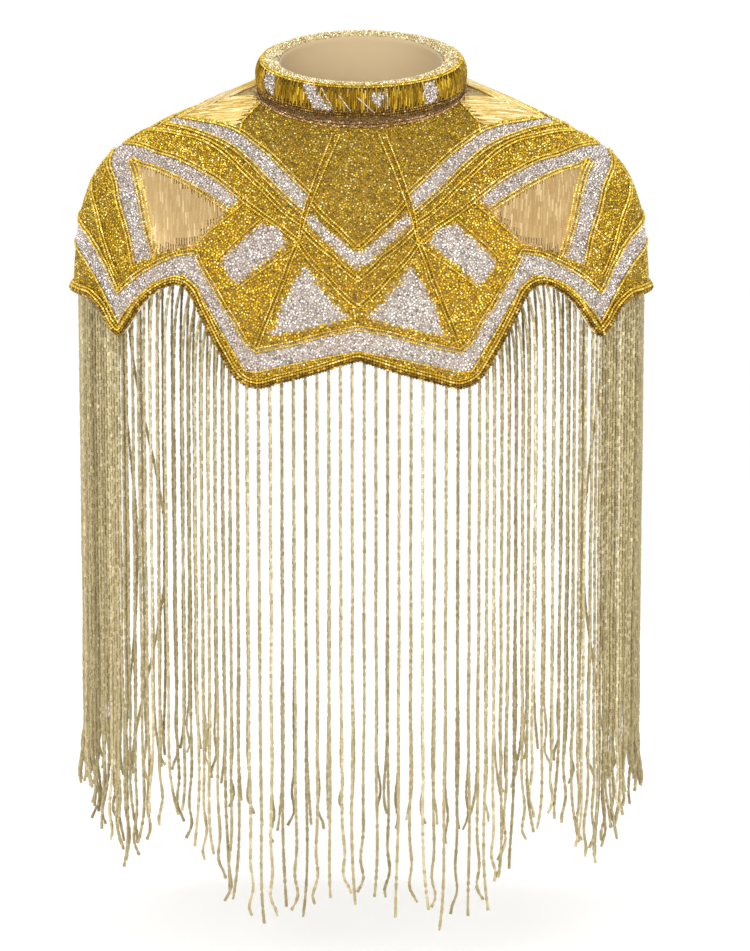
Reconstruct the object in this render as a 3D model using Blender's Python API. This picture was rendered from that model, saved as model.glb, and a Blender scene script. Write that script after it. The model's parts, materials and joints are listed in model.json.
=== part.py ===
# Beaded fringe cape: a short shaped yoke with a padded stand collar, a zigzag hem edged
# with a rolled bead cord, and a bead fringe hanging all round from a tape behind the hem.
# Metres, +Z up, +X to the viewer's right, +Y to the back of the wearer.
# The origin is the middle of the neck seam, where the wearer's neck carries the cape.
from bisect import bisect_right
from functools import lru_cache
from math import cos, exp, pi, radians, sin
import bmesh
import bpy
import numpy as np

# Sizes of the cloth
CLOTH = 0.0020            # beaded cloth, with its backing
SEAM_GAP = 0.0003         # space between two pieces at a seam
PANEL_COLUMNS = 60        # steps round the front, and round both backs together
PANEL_ROWS = 8            # steps from neck to hem

# Rings of the yoke. way: share of the way down; reaches are measured from the neck's axis;
# squareness: 2 is an ellipse, more is a squarer ring.
YOKE_COLUMNS = ("way", "front_reach", "front_z", "side_reach", "side_z", "back_reach", "back_z",
                "squareness")
YOKE_ROWS = (
    (0.00, 0.068, -0.019, 0.0760, 0.004, 0.062, 0.026, 2.00),
    (0.14, 0.083, -0.042, 0.0950, -0.001, 0.082, 0.013, 2.02),
    (0.28, 0.097, -0.068, 0.1230, -0.012, 0.099, -0.010, 2.06),
    (0.42, 0.109, -0.096, 0.1600, -0.027, 0.111, -0.042, 2.12),
    (0.56, 0.118, -0.125, 0.1945, -0.049, 0.119, -0.080, 2.20),
    (0.70, 0.124, -0.154, 0.2105, -0.082, 0.123, -0.118, 2.28),
    (0.85, 0.128, -0.185, 0.2165, -0.126, 0.125, -0.158, 2.34),
    (1.00, 0.130, -0.216, 0.2170, -0.176, 0.126, -0.200, 2.38),
    (1.15, 0.131, -0.247, 0.2170, -0.226, 0.126, -0.242, 2.40),
)

# Zigzag hem of one quarter, the same in all four. turn: degrees round from the middle of
# the front or back; height: the hem's z.
HEM_COLUMNS = ("turn", "height")
HEM_ROWS = (
    (0.0, -0.1870),
    (5.0, -0.1950),
    (11.5, -0.2025),
    (16.5, -0.2065),
    (19.5, -0.2015),
    (23.5, -0.1820),
    (28.0, -0.1585),
    (32.0, -0.1400),
    (35.5, -0.1340),
    (40.0, -0.1385),
    (44.5, -0.1500),
    (48.5, -0.1660),
    (51.0, -0.1720),
    (54.0, -0.1675),
    (58.0, -0.1560),
    (63.5, -0.1475),
    (72.0, -0.1445),
    (90.0, -0.1435),
)

# Padded stand collar. The bore is an ellipse set inside the neck seam.
COLLAR_BORE_SIDE = 0.0622
COLLAR_BORE_FRONT = 0.0535
COLLAR_BORE_BACK = 0.0475
COLLAR_BULGE = 0.0162      # thickness at its fullest
COLLAR_FRONT_HEIGHT = 0.0278
COLLAR_BACK_HEIGHT = 0.0212
COLLAR_FOOT_WAY = 0.02     # how far the foot laps over the yoke
COLLAR_SEAT = 0.0004       # space between the foot and the yoke
COLLAR_LIFT = 0.0006       # how far the sole of the roll stays above the neck seam
COLLAR_SOLE = 0.004        # width of the sole's inner, level part
COLLAR_COLUMNS = 60
LINING = 0.0012            # smooth lining of the bore
LINING_DROP = 0.0035       # how far the lining stays below the rim

# The side points of the back hem are shallower than the front ones
BACK_POINT_LIFT = 0.021
BACK_POINT_MIDDLE = 51.0   # degrees round from the centre back
BACK_POINT_REACH = 14.0    # degrees to each side over which it fades

# Rolled edge on the outside of the hem
ROLL_WIDTH = 0.0068
ROLL_PROUD = 0.0030
ROLL_BELOW = 0.0006
ROLL_SEAT = 0.0004

# Fringe: a narrow tape behind the hem, with the strands hanging from it
TAPE_HEIGHT = 0.0050
TAPE_BELOW = 0.0006
TAPE_THICKNESS = 0.0015
TAPE_SEAT = 0.0009
STRAND_WIDTH = 0.0022
STRAND_SPACING = 0.0089
STRAND_LENGTH = 0.397
STRAND_UNEVEN = 0.010      # longest and shortest differ from the rest by this much
STRAND_BOW = 0.0085        # how far the strands of an arch swing outwards
STRAND_TUCK = 0.0020       # how far those strands also swing inwards, clear of the cloth
BOW_MIDDLE = 33.0          # degrees round, where the swing is greatest
BOW_REACH = 15.0           # degrees to each side over which it fades
BOW_FALL = 0.018           # fall over which a strand takes up its swing
END_SWAY = 0.0020          # small sway of the free ends
EYE_SIDE = 0.0422          # the back strands hang in line with the front ones for an eye
EYE_AWAY = 2.278           # at this place, towards +X and in front of the middle,
BACK_MATCHED = 0.165       # up to this distance from the middle

# Finish of each kind of piece: colour, roughness, metallic
FINISHES = {
    "bead_gold": ((0.52, 0.34, 0.06), 0.35, 0.6),
    "bead_rope": ((0.36, 0.23, 0.05), 0.40, 0.6),
    "bead_fringe": ((0.46, 0.38, 0.20), 0.40, 0.4),
    "collar_cream": ((0.80, 0.66, 0.42), 0.70, 0.0),
}


def clear_scene():
    for thing in list(bpy.data.objects):
        bpy.data.objects.remove(thing, do_unlink=True)


def finish(name):
    material = bpy.data.materials.get(name)
    if material:
        return material
    colour, roughness, metallic = FINISHES[name]
    material = bpy.data.materials.new(name)
    material.use_nodes = True
    shader = material.node_tree.nodes["Principled BSDF"]
    shader.inputs["Base Color"].default_value = (*colour, 1.0)
    shader.inputs["Roughness"].default_value = roughness
    shader.inputs["Metallic"].default_value = metallic
    return material


# Curves and the yoke's surface

def smooth_column(rows, column):
    """A table's column with its slopes, ready to be read as a smooth curve."""
    x = np.array([row[0] for row in rows])
    y = np.array([row[column] for row in rows])
    return x.tolist(), y.tolist(), np.gradient(y, x).tolist()


def smooth_value(curve, at):
    x, y, slope = curve
    i = min(max(bisect_right(x, at) - 1, 0), len(x) - 2)
    h = x[i + 1] - x[i]
    t = min(max((at - x[i]) / h, 0.0), 1.0)
    start = (2 * t**3 - 3 * t**2 + 1) * y[i] + (t**3 - 2 * t**2 + t) * h * slope[i]
    end = (3 * t**2 - 2 * t**3) * y[i + 1] + (t**3 - t**2) * h * slope[i + 1]
    return start + end


YOKE = {name: smooth_column(YOKE_ROWS, k) for k, name in enumerate(YOKE_COLUMNS)}
HEM = smooth_column(HEM_ROWS, 1)


def signed_power(value, power):
    return abs(value) ** power * (1 if value >= 0 else -1)


def yoke_point(turn, way):
    """A point of the outer face: turn in degrees from the front middle, way down the yoke."""
    s, c = sin(radians(turn)), cos(radians(turn))
    power = 2 / smooth_value(YOKE["squareness"], way)
    reach = smooth_value(YOKE["front_reach" if c >= 0 else "back_reach"], way)
    front_z = smooth_value(YOKE["front_z"], way)
    back_z = smooth_value(YOKE["back_z"], way)
    side_z = smooth_value(YOKE["side_z"], way)
    tilt = (front_z - back_z) / 2
    dip = (front_z + back_z) / 2 - side_z
    x = smooth_value(YOKE["side_reach"], way) * signed_power(s, power)
    y = -reach * signed_power(c, power)
    return np.array((x, y, side_z + tilt * c + dip * c * c))


@lru_cache(maxsize=None)
def yoke_normal_at(turn, way):
    """The outward direction, square to the outer face."""
    round_step, down_step = 0.5, 0.01
    along = yoke_point(turn + round_step, way) - yoke_point(turn - round_step, way)
    down = yoke_point(turn, way + down_step) - yoke_point(turn, max(way - down_step, 0))
    normal = np.cross(down, along)
    return tuple(normal / np.linalg.norm(normal))


def yoke_normal(turn, way):
    return np.array(yoke_normal_at(turn, way))


def hem_height(turn):
    away = abs((turn + 180) % 360 - 180)
    quarter = min(away, 180 - away)
    height = smooth_value(HEM, quarter)
    if away > 90:
        share = min(abs(quarter - BACK_POINT_MIDDLE) / BACK_POINT_REACH, 1.0)
        height += BACK_POINT_LIFT * cos(share * pi / 2) ** 2
    return height


def way_at_height(turn, height):
    low, high = 0.0, YOKE_ROWS[-1][0]
    for _ in range(30):
        middle = (low + high) / 2
        if yoke_point(turn, middle)[2] > height:
            low = middle
        else:
            high = middle
    return (low + high) / 2


@lru_cache(maxsize=None)
def hem_way(turn):
    return way_at_height(turn, hem_height(turn))


def hem_point(turn):
    return yoke_point(turn, hem_way(turn))


def down_slope(turn):
    """Metres down the yoke's face for each unit of way, at the hem."""
    way = hem_way(turn)
    return np.linalg.norm(yoke_point(turn, way + 0.01) - yoke_point(turn, way - 0.01)) / 0.02


def off_face(turn, way, outward):
    return yoke_point(turn, way) + yoke_normal(turn, way) * outward


# Meshes

def make_piece(name, points, faces, finish_name):
    mesh = bpy.data.meshes.new(name)
    mesh.from_pydata([tuple(p) for p in points], [], faces)
    shell = bmesh.new()
    shell.from_mesh(mesh)
    bmesh.ops.recalc_face_normals(shell, faces=shell.faces)
    shell.to_mesh(mesh)
    shell.free()
    piece = bpy.data.objects.new(name, mesh)
    bpy.context.collection.objects.link(piece)
    mesh.materials.append(finish(finish_name))
    mesh.shade_smooth()
    mesh.set_sharp_from_angle(angle=radians(40))
    return piece


def bridge(first, second, count):
    """Quads between two loops of points that start at these indices."""
    return [(first + k, first + (k + 1) % count, second + (k + 1) % count, second + k)
            for k in range(count)]


def cap(start, count):
    """Quads across a loop whose second half runs back beside its first."""
    half = count // 2
    return [(start + k, start + count - 1 - k, start + count - 2 - k, start + k + 1)
            for k in range(half - 1)]


def sweep(name, loops, finish_name):
    """A closed body through a row of equal loops, with both ends capped."""
    count = len(loops[0])
    points = [p for loop in loops for p in loop]
    faces = []
    for i in range(len(loops) - 1):
        faces += bridge(i * count, (i + 1) * count, count)
    faces += cap(0, count)
    faces += cap((len(loops) - 1) * count, count)
    return make_piece(name, points, faces, finish_name)


def keep_to_plane(loop, plane):
    axis, place = plane
    for point in loop:
        point[axis] = place


# The planes in which pieces end at a seam: the axis across it, and the place on that axis
FRONT_OF_SHOULDER = (1, -SEAM_GAP / 2)
BACK_OF_SHOULDER = (1, SEAM_GAP / 2)
RIGHT_OF_BACK = (0, SEAM_GAP / 2)
LEFT_OF_BACK = (0, -SEAM_GAP / 2)

# Each part of the yoke: its name, the turns between which it lies, and its end planes
PARTS = (
    ("front", -90.0, 90.0, FRONT_OF_SHOULDER, FRONT_OF_SHOULDER),
    ("back_right", 90.0, 180.0, BACK_OF_SHOULDER, RIGHT_OF_BACK),
    ("back_left", -180.0, -90.0, LEFT_OF_BACK, BACK_OF_SHOULDER),
)
PANEL_NAMES = {
    "front": "front_panel",
    "back_right": "back_panel_right",
    "back_left": "back_panel_left",
}


def turns_between(start, end, count):
    return [start + (end - start) * i / count for i in range(count + 1)]


def panel_steps(start, end):
    return turns_between(start, end, round(PANEL_COLUMNS * (end - start) / 180))


def panel_loop(turn):
    last = hem_way(turn)
    ways = [last * (j / PANEL_ROWS) for j in range(PANEL_ROWS + 1)]
    outer = [yoke_point(turn, way) for way in ways]
    inner = [off_face(turn, way, -CLOTH) for way in ways]
    return outer + inner[::-1]


def sweep_between(name, loop_at, steps, planes, finish_name):
    """Sweep a section from one end plane to the other."""
    loops = [loop_at(turn) for turn in steps]
    keep_to_plane(loops[0], planes[0])
    keep_to_plane(loops[-1], planes[1])
    return sweep(name, loops, finish_name)


def build_panels():
    for label, start, end, *planes in PARTS:
        steps = panel_steps(start, end)
        sweep_between(PANEL_NAMES[label], panel_loop, steps, planes, "bead_gold")


def roll_loop(turn):
    """The rolled edge's section, wider along the meridian where the hem runs steeply."""
    step = 0.5
    along = hem_point(turn + step) - hem_point(turn - step)
    level = np.hypot(along[0], along[1])
    stretch = np.linalg.norm(along) / level
    scale = stretch / down_slope(turn)
    edge = hem_way(turn)
    low = edge + ROLL_BELOW * scale
    high = edge - ROLL_WIDTH * scale
    section = (
        (low, ROLL_SEAT),
        (low, ROLL_PROUD * 0.65),
        (low + (high - low) * 0.35, ROLL_PROUD),
        (low + (high - low) * 0.70, ROLL_PROUD * 0.95),
        (high, ROLL_PROUD * 0.55),
        (high, ROLL_SEAT),
    )
    return [off_face(turn, way, outward) for way, outward in section]


def build_hem_rolls():
    for label, start, end, *planes in PARTS:
        steps = panel_steps(start, end)
        sweep_between("hem_roll_" + label, roll_loop, steps, planes, "bead_rope")


# Collar

def bore_point(turn):
    s, c = sin(radians(turn)), cos(radians(turn))
    reach = COLLAR_BORE_FRONT if c >= 0 else COLLAR_BORE_BACK
    return np.array((COLLAR_BORE_SIDE * s, -reach * c, 0.0))


def collar_height(turn):
    share = (1 + cos(radians(turn))) / 2
    return COLLAR_BACK_HEIGHT + (COLLAR_FRONT_HEIGHT - COLLAR_BACK_HEIGHT) * share


# Section of the padded roll. across: 0 at the bore, 1 at the fullest; up: 0 at the foot,
# 1 at the rim.
COLLAR_SECTION = (
    (0.00, 0.00),
    (0.00, 0.45),
    (0.02, 0.84),
    (0.16, 0.96),
    (0.36, 1.00),
    (0.60, 0.965),
    (0.82, 0.85),
    (0.96, 0.66),
    (1.00, 0.46),
    (0.96, 0.25),
    (0.88, 0.08),
)


def collar_loop(turn):
    inner = bore_point(turn)
    lap = off_face(turn, COLLAR_FOOT_WAY, COLLAR_SEAT)
    seat = off_face(turn, 0.0, COLLAR_SEAT)
    outward = seat - inner
    outward[2] = 0
    outward = outward / np.linalg.norm(outward)
    height = collar_height(turn)
    loop = []
    for across, up in COLLAR_SECTION:
        place = inner + outward * COLLAR_BULGE * across
        place[2] = seat[2] + COLLAR_LIFT + height * up
        loop.append(place)
    over_edge = seat - outward * COLLAR_SEAT
    over_edge[2] += COLLAR_SEAT
    sole = inner + outward * COLLAR_SOLE
    sole[2] = seat[2] + COLLAR_LIFT
    return loop + [lap, over_edge, sole]


def build_collar():
    steps = turns_between(-180.0, 180.0, COLLAR_COLUMNS)
    planes = (LEFT_OF_BACK, RIGHT_OF_BACK)
    sweep_between("collar_band", collar_loop, steps, planes, "bead_gold")


def lining_loop(turn):
    inner = bore_point(turn)
    out = inner / np.linalg.norm(inner)
    foot = off_face(turn, 0.0, COLLAR_SEAT)[2]
    rim = foot + collar_height(turn) - LINING_DROP
    near = inner - out * SEAM_GAP
    far = near - out * LINING
    heights = (foot + COLLAR_LIFT, (foot + rim) / 2, rim)
    face = [np.array((near[0], near[1], z)) for z in heights]
    back = [np.array((far[0], far[1], z)) for z in heights]
    return face + back[::-1]


def build_lining():
    steps = turns_between(-180.0, 180.0, COLLAR_COLUMNS)
    planes = (LEFT_OF_BACK, RIGHT_OF_BACK)
    sweep_between("collar_lining", lining_loop, steps, planes, "collar_cream")


# Fringe

def hem_lengths(start, end):
    """Turns in half-degree steps, with the distance run along the hem at each."""
    turns = turns_between(start, end, round((end - start) * 2))
    places = [hem_point(turn) for turn in turns]
    run = [0.0]
    for a, b in zip(places, places[1:]):
        run.append(run[-1] + float(np.linalg.norm(b - a)))
    return turns, run


def swing(turn):
    """Signed sideways swing of a strand that hangs from this turn."""
    quarter = abs((turn + 180) % 360 - 180)
    quarter = min(quarter, 180 - quarter)
    away = min(abs(quarter - BOW_MIDDLE) / BOW_REACH, 1.0)
    side = 1 if sin(radians(turn)) >= 0 else -1
    return side * STRAND_BOW * cos(away * pi / 2) ** 2


def hang_x(turn):
    return float(off_face(turn, hem_way(turn), -CLOTH)[0]) + swing(turn)


def front_turns():
    turns, run = hem_lengths(0.0, 90.0)
    count = int((run[-1] - STRAND_WIDTH) / STRAND_SPACING)
    places = [STRAND_SPACING * (i + 0.5) for i in range(count)]
    right = [float(np.interp(place, run, turns)) for place in places]
    return [-turn for turn in right[::-1]] + right


def back_turns():
    """Turns of the back strands on the +X side and on the -X side."""
    turns, run = hem_lengths(90.0, 180.0)
    spots = np.array([hang_x(turn) for turn in turns])
    depths = np.array([hem_point(turn)[1] for turn in turns])
    sides = {1: [], -1: []}
    for turn in front_turns():
        spread = (EYE_AWAY + depths) / (EYE_AWAY + hem_point(turn)[1])
        behind = EYE_SIDE + (hang_x(turn) - EYE_SIDE) * spread
        side = 1 if behind[-1] > 0 else -1
        match = float(np.interp(0.0, side * behind - spots, turns))
        if STRAND_WIDTH < hang_x(match) < BACK_MATCHED:
            sides[side].append(match)
    for side in sides:
        nearest = min(sides[side])
        room = float(np.interp(nearest, turns, run)) - STRAND_WIDTH
        count = int(room / STRAND_SPACING)
        places = [STRAND_WIDTH + room * (i + 0.3) / count for i in range(count)]
        sides[side] += [float(np.interp(place, run, turns)) for place in places]
        sides[side].sort()
    return sides


def strand_path(turn, index):
    """Falls below the root, with the move away from it at each fall."""
    length = STRAND_LENGTH + STRAND_UNEVEN * sin(index * 2.4) * cos(index * 0.83)
    out = yoke_normal(turn, hem_way(turn))
    out[2] = 0
    out = out / np.linalg.norm(out)
    bow = swing(turn)
    tuck = -STRAND_TUCK * abs(bow) / STRAND_BOW
    falls = (0.012, 0.035, 0.075, 0.7 * length, length) if abs(bow) > 0.0004 else \
        (0.55 * length, 0.85 * length, length)
    path = []
    for fall in falls:
        taken = 1 - exp(-fall / BOW_FALL)
        sway = END_SWAY * sin(index * 1.7) * (fall / length) ** 4
        path.append(np.array((bow * taken + sway, 0.0, -fall)) + out * tuck * taken)
    return path


def tape_loop(turn):
    edge = hem_way(turn)
    slope = down_slope(turn)
    low = edge + TAPE_BELOW / slope
    high = edge - TAPE_HEIGHT / slope
    near = -CLOTH - TAPE_SEAT
    far = near - TAPE_THICKNESS
    return [off_face(turn, high, near), off_face(turn, low, near),
            off_face(turn, low, far), off_face(turn, high, far)]


def build_fringe(name, turns, start, end, planes):
    """One tape from seam to seam, each strand drawn down from a part of its lower edge."""
    grid, run = hem_lengths(start, end)
    cuts = [start]
    for turn in turns:
        place = float(np.interp(turn, grid, run))
        for half in (-STRAND_WIDTH / 2, STRAND_WIDTH / 2):
            cuts.append(float(np.interp(place + half, run, grid)))
    cuts.append(end)
    loops = [tape_loop(turn) for turn in cuts]
    keep_to_plane(loops[0], planes[0])
    keep_to_plane(loops[-1], planes[1])
    points = [p for loop in loops for p in loop]
    faces = cap(0, 4) + cap((len(loops) - 1) * 4, 4)
    for i in range(len(loops) - 1):
        quads = bridge(i * 4, i * 4 + 4, 4)
        is_root = i % 2 == 1
        faces += [quad for k, quad in enumerate(quads) if not (is_root and k == 1)]
        if is_root:
            strand = i // 2
            ring = list(quads[1])
            root = [points[k] for k in ring]
            for move in strand_path(turns[strand], strand + len(turns)):
                lower = list(range(len(points), len(points) + 4))
                points += [p + move for p in root]
                faces += [(ring[k], ring[(k + 1) % 4], lower[(k + 1) % 4], lower[k])
                          for k in range(4)]
                ring = lower
            faces.append(tuple(ring))
    return make_piece(name, points, faces, "bead_fringe")


def build_fringes():
    sides = back_turns()
    rows = {
        "front": front_turns(),
        "back_right": sides[1],
        "back_left": [-turn for turn in sides[-1][::-1]],
    }
    for label, start, end, *planes in PARTS:
        build_fringe("fringe_" + label, rows[label], start, end, planes)


def main():
    clear_scene()
    build_panels()
    build_collar()
    build_lining()
    build_hem_rolls()
    build_fringes()


main()
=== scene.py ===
# Looks of the beaded fringe cape: its bead-covered yoke, padded collar, rope edge, bead
# fringe, and the stage. Metres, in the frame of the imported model.
import json
from math import cos, degrees, pi, radians, sin, tan

import bmesh
import bpy
import numpy as np
from bpy.props import FloatProperty, FloatVectorProperty, IntProperty, PointerProperty
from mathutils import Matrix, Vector, kdtree

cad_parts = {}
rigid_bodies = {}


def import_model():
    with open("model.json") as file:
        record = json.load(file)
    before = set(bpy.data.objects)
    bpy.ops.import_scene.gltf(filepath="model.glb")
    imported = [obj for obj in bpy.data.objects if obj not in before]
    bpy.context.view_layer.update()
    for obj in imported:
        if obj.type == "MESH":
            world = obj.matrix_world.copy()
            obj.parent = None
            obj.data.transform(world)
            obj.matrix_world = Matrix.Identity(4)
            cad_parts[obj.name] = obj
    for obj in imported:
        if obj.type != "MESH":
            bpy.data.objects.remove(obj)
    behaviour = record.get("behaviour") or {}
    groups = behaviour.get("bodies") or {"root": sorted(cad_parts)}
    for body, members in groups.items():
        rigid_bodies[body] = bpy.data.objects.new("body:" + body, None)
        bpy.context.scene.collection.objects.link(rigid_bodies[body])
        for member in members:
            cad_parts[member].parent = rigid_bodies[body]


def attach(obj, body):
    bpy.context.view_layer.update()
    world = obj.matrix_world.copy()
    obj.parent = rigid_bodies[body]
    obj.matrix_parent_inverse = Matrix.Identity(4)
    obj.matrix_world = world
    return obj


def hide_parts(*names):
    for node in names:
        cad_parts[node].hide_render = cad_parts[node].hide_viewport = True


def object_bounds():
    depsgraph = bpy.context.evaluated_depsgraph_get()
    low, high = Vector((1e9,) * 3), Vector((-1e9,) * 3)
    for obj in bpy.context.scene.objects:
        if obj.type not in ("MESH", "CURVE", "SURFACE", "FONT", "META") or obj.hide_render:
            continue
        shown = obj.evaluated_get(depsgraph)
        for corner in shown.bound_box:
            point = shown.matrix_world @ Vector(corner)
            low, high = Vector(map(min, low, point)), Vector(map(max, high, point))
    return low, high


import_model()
CAD_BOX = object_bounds()

bl_info = {
    "name": "Beaded fringe cape",
    "version": (1, 0, 0),
    "blender": (4, 5, 0),
    "location": "View3D > Sidebar > Cape",
    "description": "Builds the looks of a beaded fringe cape around its packed model",
    "category": "Add Mesh",
}

BODY = "root"

# Rings of the yoke, as in the part's source. way: share of the way down; squareness: 2 is
# an ellipse, more is a squarer ring.
YOKE_COLUMNS = ("way", "front_reach", "front_z", "side_reach", "side_z", "back_reach", "back_z",
                "squareness")
YOKE_ROWS = (
    (0.00, 0.068, -0.019, 0.0760, 0.004, 0.062, 0.026, 2.00),
    (0.14, 0.083, -0.042, 0.0950, -0.001, 0.082, 0.013, 2.02),
    (0.28, 0.097, -0.068, 0.1230, -0.012, 0.099, -0.010, 2.06),
    (0.42, 0.109, -0.096, 0.1600, -0.027, 0.111, -0.042, 2.12),
    (0.56, 0.118, -0.125, 0.1945, -0.049, 0.119, -0.080, 2.20),
    (0.70, 0.124, -0.154, 0.2105, -0.082, 0.123, -0.118, 2.28),
    (0.85, 0.128, -0.185, 0.2165, -0.126, 0.125, -0.158, 2.34),
    (1.00, 0.130, -0.216, 0.2170, -0.176, 0.126, -0.200, 2.38),
    (1.15, 0.131, -0.247, 0.2170, -0.226, 0.126, -0.242, 2.40),
)

# Zigzag hem of one quarter: degrees round from the middle, and the hem's z
HEM_ROWS = (
    (0.0, -0.1870), (5.0, -0.1950), (11.5, -0.2025), (16.5, -0.2065), (19.5, -0.2015),
    (23.5, -0.1820), (28.0, -0.1585), (32.0, -0.1400), (35.5, -0.1340), (40.0, -0.1385),
    (44.5, -0.1500), (48.5, -0.1660), (51.0, -0.1720), (54.0, -0.1675), (58.0, -0.1560),
    (63.5, -0.1475), (72.0, -0.1445), (90.0, -0.1435),
)

# The side points of the back hem are shallower than the front ones
BACK_POINT_LIFT = 0.021
BACK_POINT_MIDDLE, BACK_POINT_REACH = 51.0, 14.0

# The ornament of one quarter, on a chart of degrees round from the middle and share of the
# way down. The four quarters mirror each other. These are the seams between its fields.
SEAMS = {
    "neck_ray_inner": ((9.8, 0.063), (12.4, 0.174), (13.5, 0.273), (13.5, 0.371), (12.8, 0.470)),
    "neck_ray_outer": ((13.5, 0.068), (15.1, 0.177), (15.5, 0.275), (15.0, 0.362), (13.1, 0.470)),
    "chevron_top": ((0, 0.478), (4.5, 0.415), (13.2, 0.336)),
    "chevron_band_top": ((0, 0.497), (4.2, 0.448), (13.0, 0.366)),
    "chevron_band_foot": ((0, 0.550), (4.9, 0.482), (13.0, 0.398)),
    "chevron_middle": ((0, 0.585), (4.5, 0.512), (13.0, 0.432)),
    "chevron_foot": ((0, 0.679), (5.0, 0.582), (13.0, 0.474)),
    "tent_edge": ((13.0, 0.480), (13.3, 0.600), (14.6, 0.720), (16.4, 0.835)),
    "blade_edge": ((13.2, 0.490), (22.3, 0.668)),
    "slab_edge": ((24.6, 0.428), (28.4, 0.590)),
    "slab_back": ((31.6, 0.400), (34.6, 0.566)),
    "fan_top": ((74.0, 0.484), (64.5, 0.459), (56.5, 0.440), (48.5, 0.430), (41.0, 0.430),
                (34.0, 0.438)),
    "fan_side": ((73.5, 0.486), (66.7, 0.495), (55.1, 0.541), (48.2, 0.600), (43.0, 0.658)),
    "arm_band_top": ((90.0, 0.488), (79.1, 0.447), (69.0, 0.413), (60.4, 0.388), (51.6, 0.374),
                     (42.9, 0.371), (33.5, 0.388), (25.6, 0.411), (19.2, 0.435), (13.1, 0.470)),
    "arm_band_outer": ((90.0, 0.524), (82.0, 0.538), (67.7, 0.565), (59.2, 0.605),
                       (53.2, 0.652), (48.6, 0.718)),
    "shoulder_top": ((90.0, 0.334), (78.0, 0.276), (68.4, 0.229), (56.8, 0.197), (46.1, 0.199),
                     (36.5, 0.213), (28.2, 0.240), (20.3, 0.276), (15.2, 0.304)),
    "shoulder_foot": ((90.0, 0.378), (69.0, 0.296), (58.5, 0.268), (49.8, 0.260),
                      (40.3, 0.272), (29.7, 0.304), (20.2, 0.345), (15.0, 0.374)),
    "shoulder_line": ((90.0, 0.420), (74.0, 0.345), (63.0, 0.302), (52.0, 0.290), (39.0, 0.310),
                      (28.0, 0.343), (18.0, 0.393), (14.0, 0.412)),
    "cap_edge": ((68.3, 0.036), (61.0, 0.165), (56.8, 0.197)),
    "hem_band_top": ((0, 0.752), (4.8, 0.777), (9.6, 0.812), (16.4, 0.852), (18.4, 0.832),
                     (21.3, 0.768), (27.0, 0.680), (34.2, 0.594), (38.0, 0.624),
                     (42.1, 0.676), (46.0, 0.728), (52.5, 0.815), (57.7, 0.768),
                     (63.3, 0.742), (70.0, 0.731), (78.6, 0.727), (90.0, 0.726)),
    "hem_band_foot": ((0, 0.836), (4.6, 0.858), (9.3, 0.884), (16.0, 0.924), (18.4, 0.926),
                      (21.3, 0.862), (26.2, 0.770), (30.8, 0.700), (34.7, 0.678),
                      (37.7, 0.700), (41.5, 0.738), (46.8, 0.818), (51.5, 0.895),
                      (58.2, 0.840), (62.6, 0.816), (68.7, 0.798), (76.5, 0.793),
                      (90.0, 0.790)),
    "side_line": ((84.0, 0.612), (74.0, 0.650), (63.0, 0.700), (54.0, 0.772)),
}

# Which seams are drawn as raised rows of beads: the seam, how many rows, whether it curves
RAISED = (
    ("neck_ray_inner", 1, True), ("neck_ray_outer", 1, True),
    ("chevron_top", 2, False), ("chevron_middle", 2, False), ("chevron_foot", 2, False),
    ("tent_edge", 2, False), ("blade_edge", 1, False), ("slab_edge", 1, False),
    ("slab_back", 1, False), ("fan_top", 2, True), ("fan_side", 3, True),
    ("arm_band_top", 2, True), ("arm_band_outer", 2, True), ("shoulder_top", 2, True),
    ("shoulder_foot", 2, True), ("shoulder_line", 2, True), ("cap_edge", 1, False),
    ("hem_band_top", 2, False), ("hem_band_foot", 1, False), ("side_line", 2, True),
)

# Fields that are closed by corners on the chart; the long bands run between two seams
SLAB = ((23.6, 0.440), (19.0, 0.440), (15.4, 0.482), (22.4, 0.652), (27.6, 0.600))
TENT = ((9.8, 0.547), (1.2, 0.716), (6.0, 0.748), (13.6, 0.796), (12.6, 0.690))

# Padded collar
BORE_SIDE, BORE_FRONT, BORE_BACK = 0.0622, 0.0535, 0.0475
COLLAR_BULGE = 0.0162
COLLAR_FRONT_HEIGHT, COLLAR_BACK_HEIGHT = 0.0278, 0.0212
COLLAR_SECTION = (
    (0.00, 0.00), (0.00, 0.45), (0.02, 0.84), (0.16, 0.96), (0.36, 1.00), (0.60, 0.965),
    (0.82, 0.85), (0.96, 0.66), (1.00, 0.46), (0.96, 0.25), (0.88, 0.08),
)

# Fringe, as in the part's source
STRAND_SPACING = 0.0089
STRAND_LENGTH = 0.397
STRAND_UNEVEN = 0.010
STRAND_BOW, STRAND_TUCK = 0.0085, 0.0020
BOW_MIDDLE, BOW_REACH, BOW_FALL = 33.0, 15.0, 0.018
EYE_SIDE, EYE_AWAY, BACK_MATCHED = 0.0422, 2.278, 0.165
STRAND_WIDTH = 0.0022
CLOTH = 0.0020
TAPE_SEAT = 0.0009
TAPE_THICKNESS = 0.0015


# Sizes and colours that a user would change

def length_of(name, words, value):
    return FloatProperty(name=name, description=words, default=value, min=0.0, unit="LENGTH",
                         precision=5)


def colour_of(name, words, value):
    return FloatVectorProperty(name=name, description=words, default=value, size=3,
                               subtype="COLOR", min=0.0, max=1.0)


class CapeClothSettings(bpy.types.PropertyGroup):
    cell: length_of("Cell", "Size of the cloth mesh's cells", 0.0045)
    lining: colour_of("Lining", "Smooth cloth inside the yoke and the collar", (0.49, 0.365, 0.20))


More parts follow.
